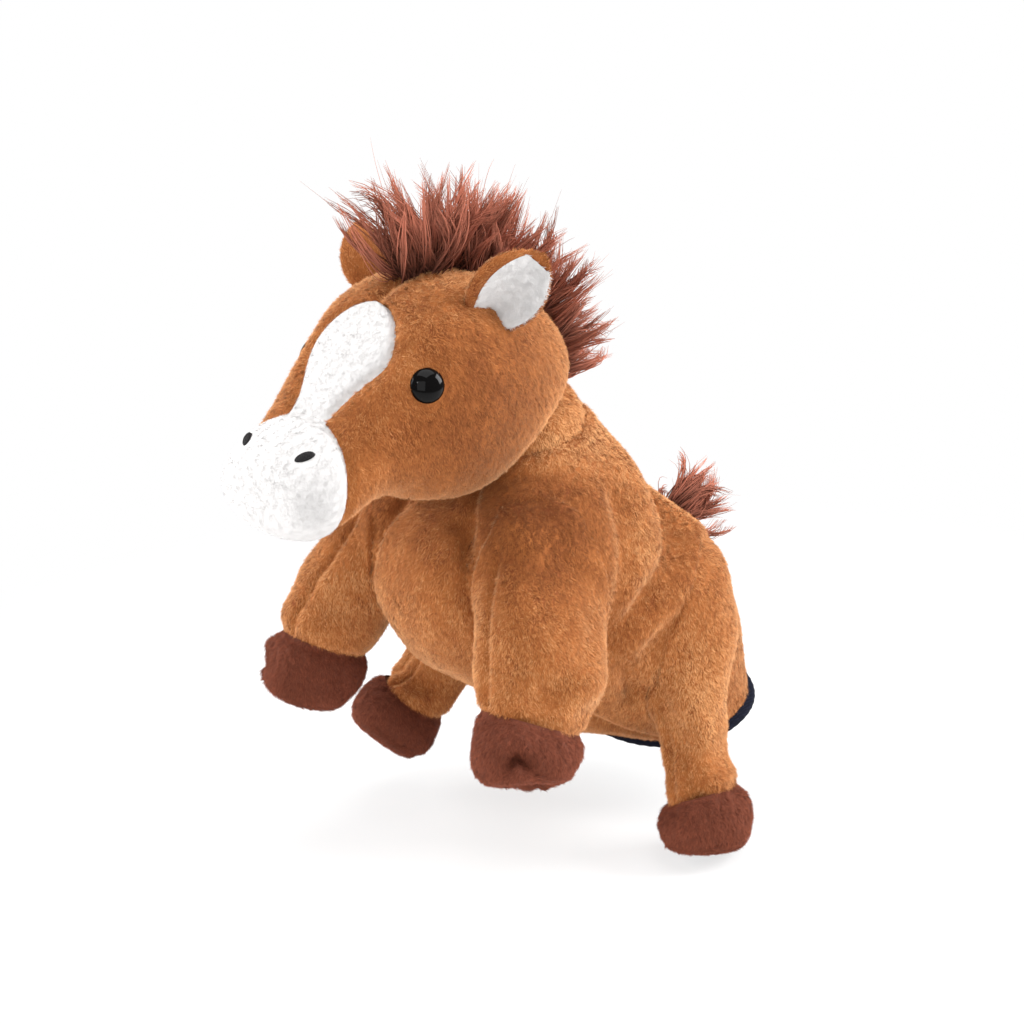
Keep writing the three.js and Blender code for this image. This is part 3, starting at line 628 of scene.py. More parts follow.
# Cloths: colours and factors of two shades, scale and strength of the grain, sheen, roughness; the brown and
# hoof cloths are darker than their piles, painted shade for the gaps between fibres
CLOTHS = {
    "brown_cloth": (("brown_shade_and_mottle", 1), ("brown", 0.8), 900, 0.5, 0.2, 0.9),
    "white_cloth": (("white", 0.9), ("white", 1), 900, 0.4, 0.2, 0.9),
    "hoof_cloth": (("hoof", 0.5), ("hoof", 0.7), 900, 0.5, 0.2, 0.9),
    "thread": (("thread", 0.7), ("thread", 1), 3000, 0.6, 0.1, 0.55),
}
CLOTH_SHINE = 1.2  # how much lighter the sheen of a cloth is than its lighter shade


def shaded(name, factor=1):
    """A colour of the settings made lighter or darker."""
    value = getattr(bpy.context.scene.puppet.colours, name)
    return tuple(min(1.0, channel * factor) for channel in value)


def put(node, values):
    """A node with numbers set on its sockets."""
    for name, value in values.items():
        node.inputs[name].default_value = value
    return node


class Look:
    """A material in the making, with short ways to add nodes and to link them."""

    def __init__(self, name, values):
        self.material = bpy.data.materials.new(name)
        self.material.use_nodes = True
        self.nodes, self.link = self.material.node_tree.nodes, self.material.node_tree.links.new
        self.shader = put(self.nodes["Principled BSDF"], values)

    def add(self, kind, values=None, **settings):
        """A new node with its sockets and settings."""
        node = put(self.nodes.new(f"ShaderNode{kind}"), values or {})
        for name, value in settings.items():
            setattr(node, name, value)
        return node

    def on_object(self, kind, values, **settings):
        """A new texture on Object coordinates. Returns its strength."""
        node = self.add(kind, values, **settings)
        self.link(self.add("TexCoord").outputs["Object"], node.inputs["Vector"])
        return node.outputs["Fac"]

    def ramp(self, strength, *stops):
        """A colour ramp through stops of place and scene-linear colour. Returns its colour."""
        node = self.add("ValToRGB")
        while len(node.color_ramp.elements) < len(stops):
            node.color_ramp.elements.new(0.5)
        for element, (place, value) in zip(node.color_ramp.elements, stops):
            element.position = place
            element.color = (*value, 1)
        self.link(strength, node.inputs["Fac"])
        return node.outputs["Color"]

    def bump(self, height, strength, distance):
        """Bumps of a given height on the whole material."""
        node = self.add("Bump", {"Strength": strength, "Distance": distance})
        self.link(height, node.inputs["Height"])
        self.link(node.outputs["Normal"], self.shader.inputs["Normal"])


def pile_material(name, shades, foot, sheen, shine):
    """Fibres in shades from dark to light, each darker at its foot by a factor: painted shade between the
    fibres.
    """
    look = Look(name, {
        "Roughness": 0.85, "Specular IOR Level": 0.1, "Sheen Weight": sheen, "Sheen Roughness": 0.45,
        "Sheen Tint": (*shaded(shine), 1),
    })
    split = look.add("SeparateXYZ")
    look.link(look.add("UVMap", uv_map=UV_NAME).outputs["UV"], split.inputs["Vector"])
    # Painted shade: each fibre darker towards its foot, where shade falls between fibres
    painted_foot_shade = look.ramp(split.outputs["Y"], (0.0, (foot,) * 3), (0.7, (1.0,) * 3))
    shade = look.ramp(split.outputs["X"], *zip((0.0, 0.5, 1.0), (shaded(*shade) for shade in shades)))
    mix = put(look.add("Mix", data_type="RGBA", blend_type="MULTIPLY"), {"Factor": 1})
    look.link(painted_foot_shade, mix.inputs["A"])
    look.link(shade, mix.inputs["B"])
    look.link(mix.outputs["Result"], look.shader.inputs["Base Color"])
    return look.material


def cloth_material(name, dark, light, grain, strength, sheen, rough):
    """Cloth with a mottled colour and a fine grain: two scales of noise."""
    shine = tuple(min(1.0, channel * CLOTH_SHINE) for channel in shaded(*light))
    look = Look(name, {
        "Roughness": rough, "Specular IOR Level": 0.2, "Sheen Weight": sheen, "Sheen Roughness": 0.5,
        "Sheen Tint": (*shine, 1),
    })
    patch = look.on_object("TexNoise", {"Scale": 90, "Detail": 4})
    tone = look.ramp(patch, (0.3, shaded(*dark)), (0.7, shaded(*light)))
    look.link(tone, look.shader.inputs["Base Color"])
    look.bump(look.on_object("TexNoise", {"Scale": grain, "Detail": 2}), strength, 0.0006)
    return look.material


def weave_material(name, thread):
    """Woven cotton: fine ribs across each other, in two shades of one colour, darker where the ribs dip and
    lighter on their crests: painted shade and highlight that follow the bump.
    """
    look = Look(name, {"Roughness": 0.85, "Specular IOR Level": 0.1})
    crossing = look.add("Math", operation="MULTIPLY")
    for place, direction in enumerate(("X", "Z")):
        rib = look.on_object("TexWave", {"Scale": 420, "Distortion": 0.6}, bands_direction=direction)
        look.link(rib, crossing.inputs[place])
    height = crossing.outputs["Value"]
    # Painted shade in the dips of the ribs and painted highlight on their crests
    tone = look.ramp(height, (0.0, shaded(thread, 0.65)), (1.0, shaded(thread, 1.3)))
    look.link(tone, look.shader.inputs["Base Color"])
    look.bump(height, 0.4, 0.0003)
    return look.material


def gloss_material(name, plastic):
    """Polished moulded plastic with the faintest mottling in its shine."""
    look = Look(name, {"Base Color": (*shaded(plastic), 1), "Specular IOR Level": 0.1})
    shine = look.add("MapRange", {"To Min": 0.03, "To Max": 0.09})
    look.link(look.on_object("TexNoise", {"Scale": 400}), shine.inputs["Value"])
    look.link(shine.outputs["Result"], look.shader.inputs["Roughness"])
    return look.material


def finish(name):
    """One of the puppet's materials, made when it is first asked for."""
    made = bpy.data.materials.get(name)
    if made:
        return made
    if name in PILES:
        return pile_material(name, *PILES[name])
    if name in CLOTHS:
        return cloth_material(name, *CLOTHS[name])
    return weave_material(name, "navy") if name == "navy_weave" else gloss_material(name, "eye")


# Pieces


def dress(piece, slot, *nodes, fill=None):
    """Hides the CAD nodes that a piece stands for and returns the piece; its finish and how full it is stuffed
    are not used.
    """
    if nodes:
        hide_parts(*nodes)
    return piece


def sewn(name, kind, points, normal, nap, seed, nodes, fill, around=False, keep=None, caps=(), **look):
    """A stuffed plush piece: its cloth, which stands for CAD nodes, and the pile on it."""
    cloth = skin_object(f"{name}_cloth", points, normal, finish(f"{kind}_cloth"), around, keep, caps)
    look = {"soft": SOFT[kind], **look}
    fur = pile(f"{name}_pile", points, normal, np.array(nap), finish(f"{kind}_pile"), seed, around, **look)
    return dress(cloth, f"{kind}_plush", *nodes, fill=fill), dress(fur, f"{kind}_plush")


def ride(pieces, body):
    """Fixes pieces to one body of the frame."""
    for piece in pieces:
        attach(piece, body)


def seam(*away):
    """How far the plush is pulled in at given distances from its seams."""
    close = np.minimum.reduce([np.abs(value) for value in np.broadcast_arrays(*away)])
    return plush("seam_depth") * bell(close, 0, plush("seam_width"))


# Body

BODY_NAP = [0.0, -0.25, -1.0]
COLLAR_ROLL, COLLAR_BAND = 4.0, 0.25  # radius of the collar's rolled edge, and the rings that it takes
UNDER_LEG = 14.0  # how deep inside a leg the body has pile, which shows when the leg swings
BODY_RIPPLE = 0.7, 30.0, 5  # height, wavelength and seed
NECK_REACH = math.radians(62)  # how far the neck's ball reaches from its middle towards head and body
# Folds of the body as left, forward and up along them, half width and depth. A negative depth is a ridge.
FOLDS = [
    ([[24, 30, 93], [36, 37, 83], [42, 45, 75.5], [45, 52.5, 70],
      [47, 60, 65.5], [47, 67.5, 60.5], [45, 76, 55]], 6.0, 6.5),
    ([[30, 50, 106], [42.7, 56.2, 90.9], [46.9, 59.5, 82.1], [49.5, 72.2, 71.6]], 8.0, -1.2),
    ([[28, 8, 68], [36, 14, 64], [47.5, 34.5, 57.7], [49.4, 46.9, 52.4], [48.5, 57.7, 45.6]], 6.0, 2.4),
    ([[44, 30, 74], [48, 38, 68], [49, 50, 62], [49, 62, 54]], 6.0, -1.6),
    ([[47.4, 80, 54], [46.5, 74, 46], [45.4, 68, 39], [40.8, 57, 25]], 4.5, 3.6),
    ([[31, 3.4, 60.5], [41, 10.3, 46], [42, 9, 30.5]], 5.0, 1.2),
    ([[15, 118, 98], [20.1, 120, 91.8], [26, 121, 83], [28, 121, 74]], 4.0, 2.6),
    ([[41.5, 70, 101], [46, 71, 93], [49, 73, 83], [51, 76, 73], [48, 78, 62]], 5.5, 3.0),
]


def breast_angle(at):
    """Half the angle that the breast panel takes of a ring of the body."""
    return BREAST_AT_NECK + (BREAST_AT_OPENING - BREAST_AT_NECK) * np.clip(at / TORSO_END, 0, 1)


def torso_surface(at, turn, grow=0.0):
    """The body: its rings, and above the collar a rolled edge of a quarter circle towards the neck."""
    bend = np.clip(-at / COLLAR_BAND, 0, 1) * math.pi / 2
    points = sheath(TORSO, np.maximum(at, 0), turn, grow)
    inwards = unit(middle_of(TORSO, np.maximum(at, 0)) - points)
    roll = along(inwards, COLLAR_ROLL * (1 - np.cos(bend)))
    return points + roll + along(NECK_AXIS, COLLAR_ROLL * np.sin(bend))


def folded(points, middle, around=False):
    """Points of the body pressed in along its folds, on both sides."""
    normal = normals(points, middle, around)
    for path, width, depth in FOLDS:
        for side in SIDES.values():
            points = fold(points, normal, np.array(path) * [side, -1, 1], width, depth)
    return points


def torso_panel(legs, low, high, columns, rows=170):
    """One panel of the body between two turns that depend on the ring: melted into the legs, folded, and
    pulled in at its seams. Returns its points, its normals and where it has pile."""
    down, over = grid(rows, columns)
    at = -COLLAR_BAND + (TORSO_END + COLLAR_BAND) * down
    turn = low(at) + (high(at) - low(at)) * over
    middle = middle_of(TORSO, np.maximum(at, 0))
    points = torso_surface(at, turn, -plush("pile_inset"))
    outside = np.full(points.shape[:2], np.inf)
    for leg in legs:
        points, away = joined(points, normals(points, middle), leg)
        outside = np.minimum(outside, away)
    points = folded(points, middle)
    normal = normals(points, middle)
    wide = half_width(TORSO, np.maximum(at, 0))
    pull = seam((turn - low(at)) * wide, (high(at) - turn) * wide)
    height, wavelength, seed = BODY_RIPPLE
    soft = height * ripple(points, wavelength, seed) * ease(down * 6) * ease((1 - down) * 6)
    points = points + along(normal, soft - pull)
    return points, normals(points, middle), 1.0 * (outside > -UNDER_LEG)


def body_form(rows=72, columns=110):
    """The whole body as a form that legs are joined to."""
    down, turn = ring_grid(rows, columns)
    points = torso_surface(TORSO_END * down, turn, -plush("pile_inset"))
    out = normals(points, middle_of(TORSO, TORSO_END * down), around=True)
    return points.reshape(-1, 3), out.reshape(-1, 3), np.full(points.size // 3, plush("flare"))


class PUPPET_OT_body(bpy.types.Operator):
    """Sews the body from two side panels and a breast panel, with the ball-shaped neck sleeve"""

    bl_idname = "puppet.body"
    bl_label = "Body and neck"

    def execute(self, context):
        panels = {
            "left_side": (lambda at: 0 * at, lambda at: math.pi - breast_angle(at), 170),
            "right_side": (lambda at: math.pi + breast_angle(at), lambda at: 2 * math.pi + 0 * at, 170),
            "breast": (lambda at: math.pi - breast_angle(at), lambda at: math.pi + breast_angle(at), 70),
        }
        legs = [Leg(name).form() for name in LEGS]
        for order, (name, (low, high, columns)) in enumerate(panels.items()):
            points, normal, cover = torso_panel(legs, low, high, columns)
            seed, nodes = SEED["body"] + 10 * order, [f"{name}_panel"]
            made = sewn(name, "brown", points, normal, BODY_NAP, seed, nodes, FILL["body"], cover=cover)
            ride(made, "torso")
        self.neck()
        return {"FINISHED"}

    def neck(self):
        """The neck sleeve: a band of a ball about the middle of the neck, with soft wrinkles round it."""
        down, turn = ring_grid(60, 150)
        high = NECK_REACH * (1 - 2 * down)
        radius = NECK_RADIUS - plush("pile_inset") + 0.5 * np.sin(5 * high + 0.8 * np.sin(turn))
        flat = spokes(turn, LEFT, unit(np.cross(LEFT, NECK_AXIS)))
        points = NECK + along(along(flat, np.cos(high)) + along(NECK_AXIS, np.sin(high)), radius)
        normal = normals(points, NECK, around=True)
        made = sewn("neck", "brown", points, normal, DOWN, SEED["neck"], ["neck_sleeve"], FILL["body"], True)
        ride(made, "neck")


# Head

HEAD_NAP, BLAZE_NAP, MUZZLE_NAP = [0.0, 0.25, -1.0], [0.0, -0.6, -1.0], [0.0, 0.2, -1.0]
WHITE_SCALE = 0.55  # length of the face's white pile against the brown
BLAZE_TOP, BLAZE_FOOT, BLAZE_HALF, BLAZE_NARROW, BLAZE_ARCH = 4.22, 6.15, 19.0, 9.5, 17.0
MUZZLE_SLANT, MUZZLE_TURN = 0.45, math.radians(110)  # how much further forward the muzzle's seam runs below
EYE_AT, EYE_TURN, EYE_BARE = 4.38, math.radians(71), 5.5
NOSTRIL_AT, NOSTRIL_TURN, NOSTRIL_BARE = 7.15, math.radians(32), 3.2
NECK_INSIDE = 4.0  # how deep inside the neck's ball the head's cloth ends
RING_MM = 15.0  # about how far apart two rings of the face are
# Swellings of the head: height, ring and its spread, turn from the top and its spread
SWELLS = [
    (1.5, 7.6, 1.0, 0.0, math.inf),  # muzzle
    (1.4, 3.4, 1.3, math.radians(118), 0.7),  # cheeks
    (0.9, 4.0, 0.8, math.radians(38), 0.35),  # brow
    (-1.5, EYE_AT, 0.38, EYE_TURN, 0.26),  # hollows of the eyes
]


def from_top(turn):
    """Turn from the upper edge of a ring, on either side."""
    return np.abs((np.asarray(turn) + math.pi) % (2 * math.pi) - math.pi)


def head_seam(turn):
    """Head ring where the muzzle cap is sewn on: further forward below than at the blaze."""
    return BLAZE_FOOT + MUZZLE_SLANT * ease(from_top(turn) / MUZZLE_TURN)


def blaze_turn(at):
    """Half the angle that the blaze takes of a head ring: a round arch on top, narrower at the muzzle."""
    rows = np.linspace(BLAZE_TOP, BLAZE_FOOT, 60)
    run = run_along(HEAD, rows)
    drop = np.interp(at, rows, run)
    arch = np.sqrt(np.clip(1 - (1 - np.minimum(drop / BLAZE_ARCH, 1)) ** 2, 0, 1))
    widest = BLAZE_ARCH * 0.7
    width = BLAZE_HALF + (BLAZE_NARROW - BLAZE_HALF) * ease((drop - widest) / (run[-1] - widest))
    share = np.clip(width * arch / half_width(HEAD, at), 0, 1)
    return np.where(at < BLAZE_TOP, 0, np.arcsin(share ** (FULLNESS / 2)))


def head_surface(at, turn, *away):
    """The head: its rings, swollen at muzzle, cheeks and brow, dented round the eyes, and pulled in at seams
    that are given distances away."""
    points = sheath(HEAD, at, turn, -plush("pile_inset"))
    swell = sum(
        height * bell(at, ring, wide) * bell(from_top(turn), middle, reach)
        for height, ring, wide, middle, reach in SWELLS
    )
    normal = normals(points, middle_of(HEAD, at))
    points = points + along(normal, swell - seam(*away))
    return points, normals(points, middle_of(HEAD, at))


def head_rows():
    """Rows of the face's grid, as head rings: even down to the blaze, then closer where its arch starts."""
    back = np.linspace(0, BLAZE_TOP, 84)
    face = BLAZE_TOP + (BLAZE_FOOT - BLAZE_TOP) * np.linspace(0, 1, 52)[1:] ** 2
    return np.concatenate([back, face])


def to_muzzle(at, turn):
    """A row of the face's grid stretched so that its last row is the muzzle seam."""
    stretch = (head_seam(turn) - BLAZE_TOP) / (BLAZE_FOOT - BLAZE_TOP)
    return np.where(at > BLAZE_TOP, BLAZE_TOP + (at - BLAZE_TOP) * stretch, at)


def on_head(at, turn, step=0.02):
    """A point of the head's outline and the way out of the head there."""
    def place(ring, way):
        return sheath(HEAD, np.array(ring), np.array(way))

    point = place(at, turn)
    down = place(at + step, turn) - place(at - step, turn)
    over = place(at, turn + step) - place(at, turn - step)
    out = unit(np.cross(down, over))
    return point, out * np.sign(out @ (point - middle_of(HEAD, np.array(at))))


def clear_of(points, at, turn, radius):
    """Which points lie further than a radius from a place on both sides of the head."""
    places = [on_head(at, turn * side)[0] for side in SIDES.values()]
    return np.minimum.reduce([np.linalg.norm(points - place, axis=-1) for place in places]) > radius


class PUPPET_OT_head(bpy.types.Operator):
    """Sews the head from two side panels, the white blaze and the white muzzle cap"""

    bl_idname = "puppet.head"
    bl_label = "Head"

    def execute(self, context):
        rows = head_rows()[:, None]
        edge = blaze_turn(rows)
        wide = half_width(HEAD, rows)
        turn = edge + (math.pi - edge) * np.linspace(0, 1, 150)[None]
        at = to_muzzle(rows, turn)
        away = (turn - edge) * wide, (math.pi - turn) * wide, (head_seam(turn) - at) * RING_MM
        half = head_surface(at, turn, *away)
        for name, side in SIDES.items():
            points, normal = (array * [side, 1, 1] for array in half)
            clear = np.linalg.norm(points - NECK, axis=-1) > NECK_RADIUS - NECK_INSIDE
            cover = 1.0 * (clear & clear_of(points, EYE_AT, EYE_TURN, EYE_BARE))
            nodes = [f"{name}_head_panel"] + (["head_stuffing"] if side > 0 else [])
            made = sewn(
                f"{name}_head", "brown", points, normal, HEAD_NAP, SEED["head"] + side, nodes, FILL["head"],
                keep=clear, cover=cover,
            )
            ride(made, "head")
        self.blaze(rows, edge, wide)
        self.muzzle()
        return {"FINISHED"}

    def blaze(self, rows, edge, wide):
        """The blaze, between the turns of its two edges."""
        face = rows[:, 0] >= BLAZE_TOP
        rows, edge, wide = rows[face], np.maximum(edge[face], 1e-4), wide[face]
        turn = edge * np.linspace(-1, 1, 61)[None]
        at = to_muzzle(rows, turn)
        surface = head_surface(at, turn, (edge - np.abs(turn)) * wide, (head_seam(turn) - at) * RING_MM)
        made = sewn(
            "blaze", "white", *surface, BLAZE_NAP, SEED["blaze"], ["blaze"], FILL["head"], scale=WHITE_SCALE,
        )
        ride(made, "head")

    def muzzle(self):
        """The muzzle cap: from its seam to the last ring, and closed there by a quarter circle."""
        down, turn = ring_grid(76, 190)
        closing, nearly = 0.8, 0.985  # share of the rows where it starts to close, and how far it does
        at = head_seam(turn) + (HEAD_END - head_seam(turn)) * np.clip(down / closing, 0, 1)
        points, _ = head_surface(at, turn, (at - head_seam(turn)) * RING_MM)
        close = np.clip((down - closing) / (1 - closing), 0, 1) * math.pi / 2 * nearly
        middle = middle_of(HEAD, at)
        tip = along(np.array([0.0, -1.0, -0.1]), 0.5 * np.sin(close))
        points = middle + along(points - middle, np.cos(close)) + tip
        normal = normals(points, middle_of(HEAD, np.full_like(at, 7.5)), around=True)
        made = sewn(
            "muzzle", "white", points, normal, MUZZLE_NAP, SEED["muzzle"], ["muzzle"], FILL["head"], True,
            caps=(-1,), scale=WHITE_SCALE,
            cover=1.0 * clear_of(points, NOSTRIL_AT, NOSTRIL_TURN, NOSTRIL_BARE),
        )
        ride(made, "head")


EYE_SHANK = [[2, -8], [2, -1], [5.2, -1], [5.9, -0.6], [6, 0], [5.85, 0.6]]  # radius and height
EYE_RADIUS, EYE_DOME, EYE_FOOT, EYE_TIP, EYE_SUNK = 5.85, 3.5, 0.3, 0.02, 2.8


class PUPPET_OT_eyes(bpy.types.Operator):
    """Sets the two glossy eyes into the plush"""

    bl_idname = "puppet.eyes"
    bl_label = "Eyes"

    def execute(self, context):
        dome = np.linspace(0.12, 1, 40)[:, None] * math.pi / 2
        dome = np.hstack([EYE_RADIUS * np.cos(dome) + EYE_TIP, EYE_FOOT + EYE_DOME * np.sin(dome)])
        shape = np.vstack([EYE_SHANK, dome])
        for name, side in SIDES.items():
            seat, out = on_head(EYE_AT, EYE_TURN * side)
            level = unit(np.cross(out, -DOWN))
            points = lathe(shape, seat - out * EYE_SUNK, out, spokes(turns(120), level, np.cross(out, level)))
            normal = normals(points, seat - out * 3, around=True)
            eye = skin_object(f"{name}_eye_bead", points, normal, finish("eye"), around=True, caps=(0, -1))
            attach(dress(eye, "eye_plastic", f"{name}_eye", f"{name}_eye_washer"), "head")
        return {"FINISHED"}


NOSTRIL_LONG, NOSTRIL_SHORT, NOSTRIL_HIGH, NOSTRIL_OUT = 3.5, 1.6, 0.75, 0.9
STITCH_WIDE, STITCH_HIGH = 0.62, 0.1
MUZZLE_BEND = 44.0  # twice the radius that the muzzle bends the nostrils to


class PUPPET_OT_nostrils(bpy.types.Operator):
    """Stitches the two nostrils in satin stitch"""

    bl_idname = "puppet.nostrils"
    bl_label = "Nostrils"

    def execute(self, context):
        for name, side in SIDES.items():
            seat, out = on_head(NOSTRIL_AT, NOSTRIL_TURN * side)
            points = self.patch(seat + out * NOSTRIL_OUT, out, side)
            normal = normals(points, seat - out * 5, around=True)
            thread = finish("thread")
            made = skin_object(f"{name}_nostril_stitch", points, normal, thread, around=True, caps=(-1,))
            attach(dress(made, "embroidery_thread", f"{name}_nostril"), "head")
        return {"FINISHED"}

    def patch(self, seat, out, side):
        """An oval cushion of thread, bent to the head, whose ridges are the stitches across it."""
        long = np.array([0.58 * side, 0.74, 0.35])
        long = unit(long - out * (long @ out))
        inwards, turn = ring_grid(30, 96)
        radius = 1 - 0.97 * inwards
        x, y = NOSTRIL_LONG * radius * np.cos(turn), NOSTRIL_SHORT * radius * np.sin(turn)
        stitches = STITCH_HIGH * np.cos(2 * math.pi * x / STITCH_WIDE) * (1 - radius**6)
        height = NOSTRIL_HIGH * np.sqrt(np.clip(1 - radius**2, 0, 1)) + stitches
        height = height - (x * x + y * y) / MUZZLE_BEND - 0.5 * bell(radius, 1, 0.05)
        return seat + along(long, x) + along(np.cross(out, long), y) + along(out, height)


EAR_AT, EAR_TURN, EAR_SUNK, EAR_ROOT = 2.9, math.radians(42), 1.5, 5.0
EAR_LENGTH, EAR_HALF, EAR_THICK, EAR_REAR = 25, 15.5, 3.2, 0.8
EAR_CURLS = math.radians(58), math.radians(48)  # slopes at the front and the rear edge
EAR_PINCH, EAR_PILE, EAR_SOFT = 2.5, 0.8, 0.92
# Ways in which an ear points and opens: outward, back and up
EAR_WAYS = {
    1: np.array([[0.56, 0.42, 0.71], [0.68, -0.6, -0.2]]),
    -1: np.array([[0.66, 0.1, 0.74], [0.82, -0.3, -0.49]]),
}


class PUPPET_OT_ears(bpy.types.Operator):
    """Sews the two ears, brown behind and white inside, each folded at its root"""

    bl_idname = "puppet.ears"
    bl_label = "Ears"

    def execute(self, context):
        for name, side in SIDES.items():
            root, out = on_head(EAR_AT, EAR_TURN * side)
            points, middle, axis, white = self.leaf(root - EAR_SUNK * out, side)
            normal = normals(points, middle, around=True)
            for part, node, kind, keep, caps, nap, soft in (
                ("ear_back", "ear_back", "brown", ~white, (-1,), axis, SOFT["brown"]),
                ("ear_inner", "ear_lining", "white", white, (), axis + DOWN, EAR_SOFT),
            ):
                made = sewn(
                    f"{name}_{part}", kind, points, normal, nap, SEED[part] + side, [f"{name}_{node}"],
                    FILL["ear"], True, keep, caps, cover=1.0 * keep, scale=EAR_PILE, soft=soft,
                )
                ride(made, f"{name}_ear")
        return {"FINISHED"}

    def leaf(self, root, side):
        """An ear as a flat closed tube, in outline a round leaf. Across it runs an arc whose slope grows
        evenly to each edge, so that the edges curl over the white side, and more so at the root. Returns its
        points, their middles, the way it points, and where the white lining lies: inside the curl, short of
        the front edge and the tip."""
        axis, face = EAR_WAYS[side] * [side, 1, 1]
        axis = unit(axis)
        face = unit(face - axis * (face @ axis))
        wide = np.cross(axis, face) * side
        share, turn = ring_grid(64, 120)
        share = 1 - (1 - share) ** 1.5
        over, inner = np.cos(turn), np.sin(turn)
        half = EAR_HALF * np.clip(np.sin(math.pi * (0.12 + 0.88 * share)), 1e-4, 1) ** 0.6
        half = half * np.where(over < 0, 1, EAR_REAR)
        slope = np.where(over < 0, *EAR_CURLS) * (1.25 - 0.7 * share)
        lean = slope * over
        across, curl = half * np.sin(lean) / slope, half * (1 - np.cos(lean)) / slope
        thick = EAR_THICK * np.clip(1 - share**5, 0.03, 1) * np.sign(inner) * np.abs(inner) ** 0.7
        pinch = -EAR_PINCH * (1 - share) ** 2 * bell(over, 0.1, 0.3) * (inner > 0)
        spine = root + along(axis, -EAR_ROOT + (EAR_LENGTH + EAR_ROOT) * share)
        way_in = along(face, np.cos(lean)) - along(wide, np.sin(lean))
        middle = spine + along(wide, across) + along(face, curl)
        white = (inner > 0.12) & (over > -0.8) & (over < 0.98) & (share < 0.9)
        return middle + along(way_in, thick + pinch), middle, axis, white


# Legs

LEGS = ("left_front", "right_front", "left_hind", "right_hind")
HIND_REST = {"left": 0.0, "right": 30.0}  # degrees that a hind leg is swung at rest
SHOULDER_RING, HIP_RING, KNEE_RING = 1.4, 1.0, 4.0
LEG_NAP, SOLE_NAP, HOOF_SCALE = [0.0, 0.1, -1.0], [0.0, 1.0, 0.0], 1.1
LEG_INSIDE, LEG_PILE_INSIDE = 6.0, 5.0  # how deep inside the body a leg's cloth and its pile end
HOOF_INSET, SOLE_INSET = 0.3, 1.0  # how much deeper than the leg's cloth theirs lies
FRONT_INNER, FRONT_OUTER, REAR_OUTER = 45, -45, -135  # sides of a left leg, in degrees from its front edge
# Swellings of a leg: height, ring and its spread
REAR_SWELL, FRONT_SLIM, HIND_SLIM = (7.0, 3.7, 1.0), (-5.0, 2.0, 1.1), (-4.0, 4.1, 0.8)
SHOULDER_SLIM = 2.0
LEAST_REACH = 5.0  # of the rounding between leg and body
SLEEVE_RING_MM, HOOF_TOP_MM, HOOF_FOOT_MM = 13.0, 11.0, 12.0  # about how far apart two rings are there
# Folds of a left leg as ring and degrees from its front edge along them, half width and depth
LEG_FOLDS = {
    "front": [
        ([[3.0, -110], [3.6, -92], [4.2, -76], [4.7, -66]], 6.0, 1.8),
        ([[1.8, -40], [2.6, -44], [3.4, -42], [4.0, -36]], 7.0, -1.2),
    ],
    "hind": [
        ([[2.4, 4], [2.9, -10], [3.4, -22], [3.95, -34], [4.5, -40], [4.95, -44]], 4.5, 3.0),
        ([[3.2, -60], [3.9, -72], [4.6, -84]], 6.0, -1.4),
    ],
}


def swelling(at, height, ring, wide):
    """A swelling about a ring."""
    return height * bell(at, ring, wide)


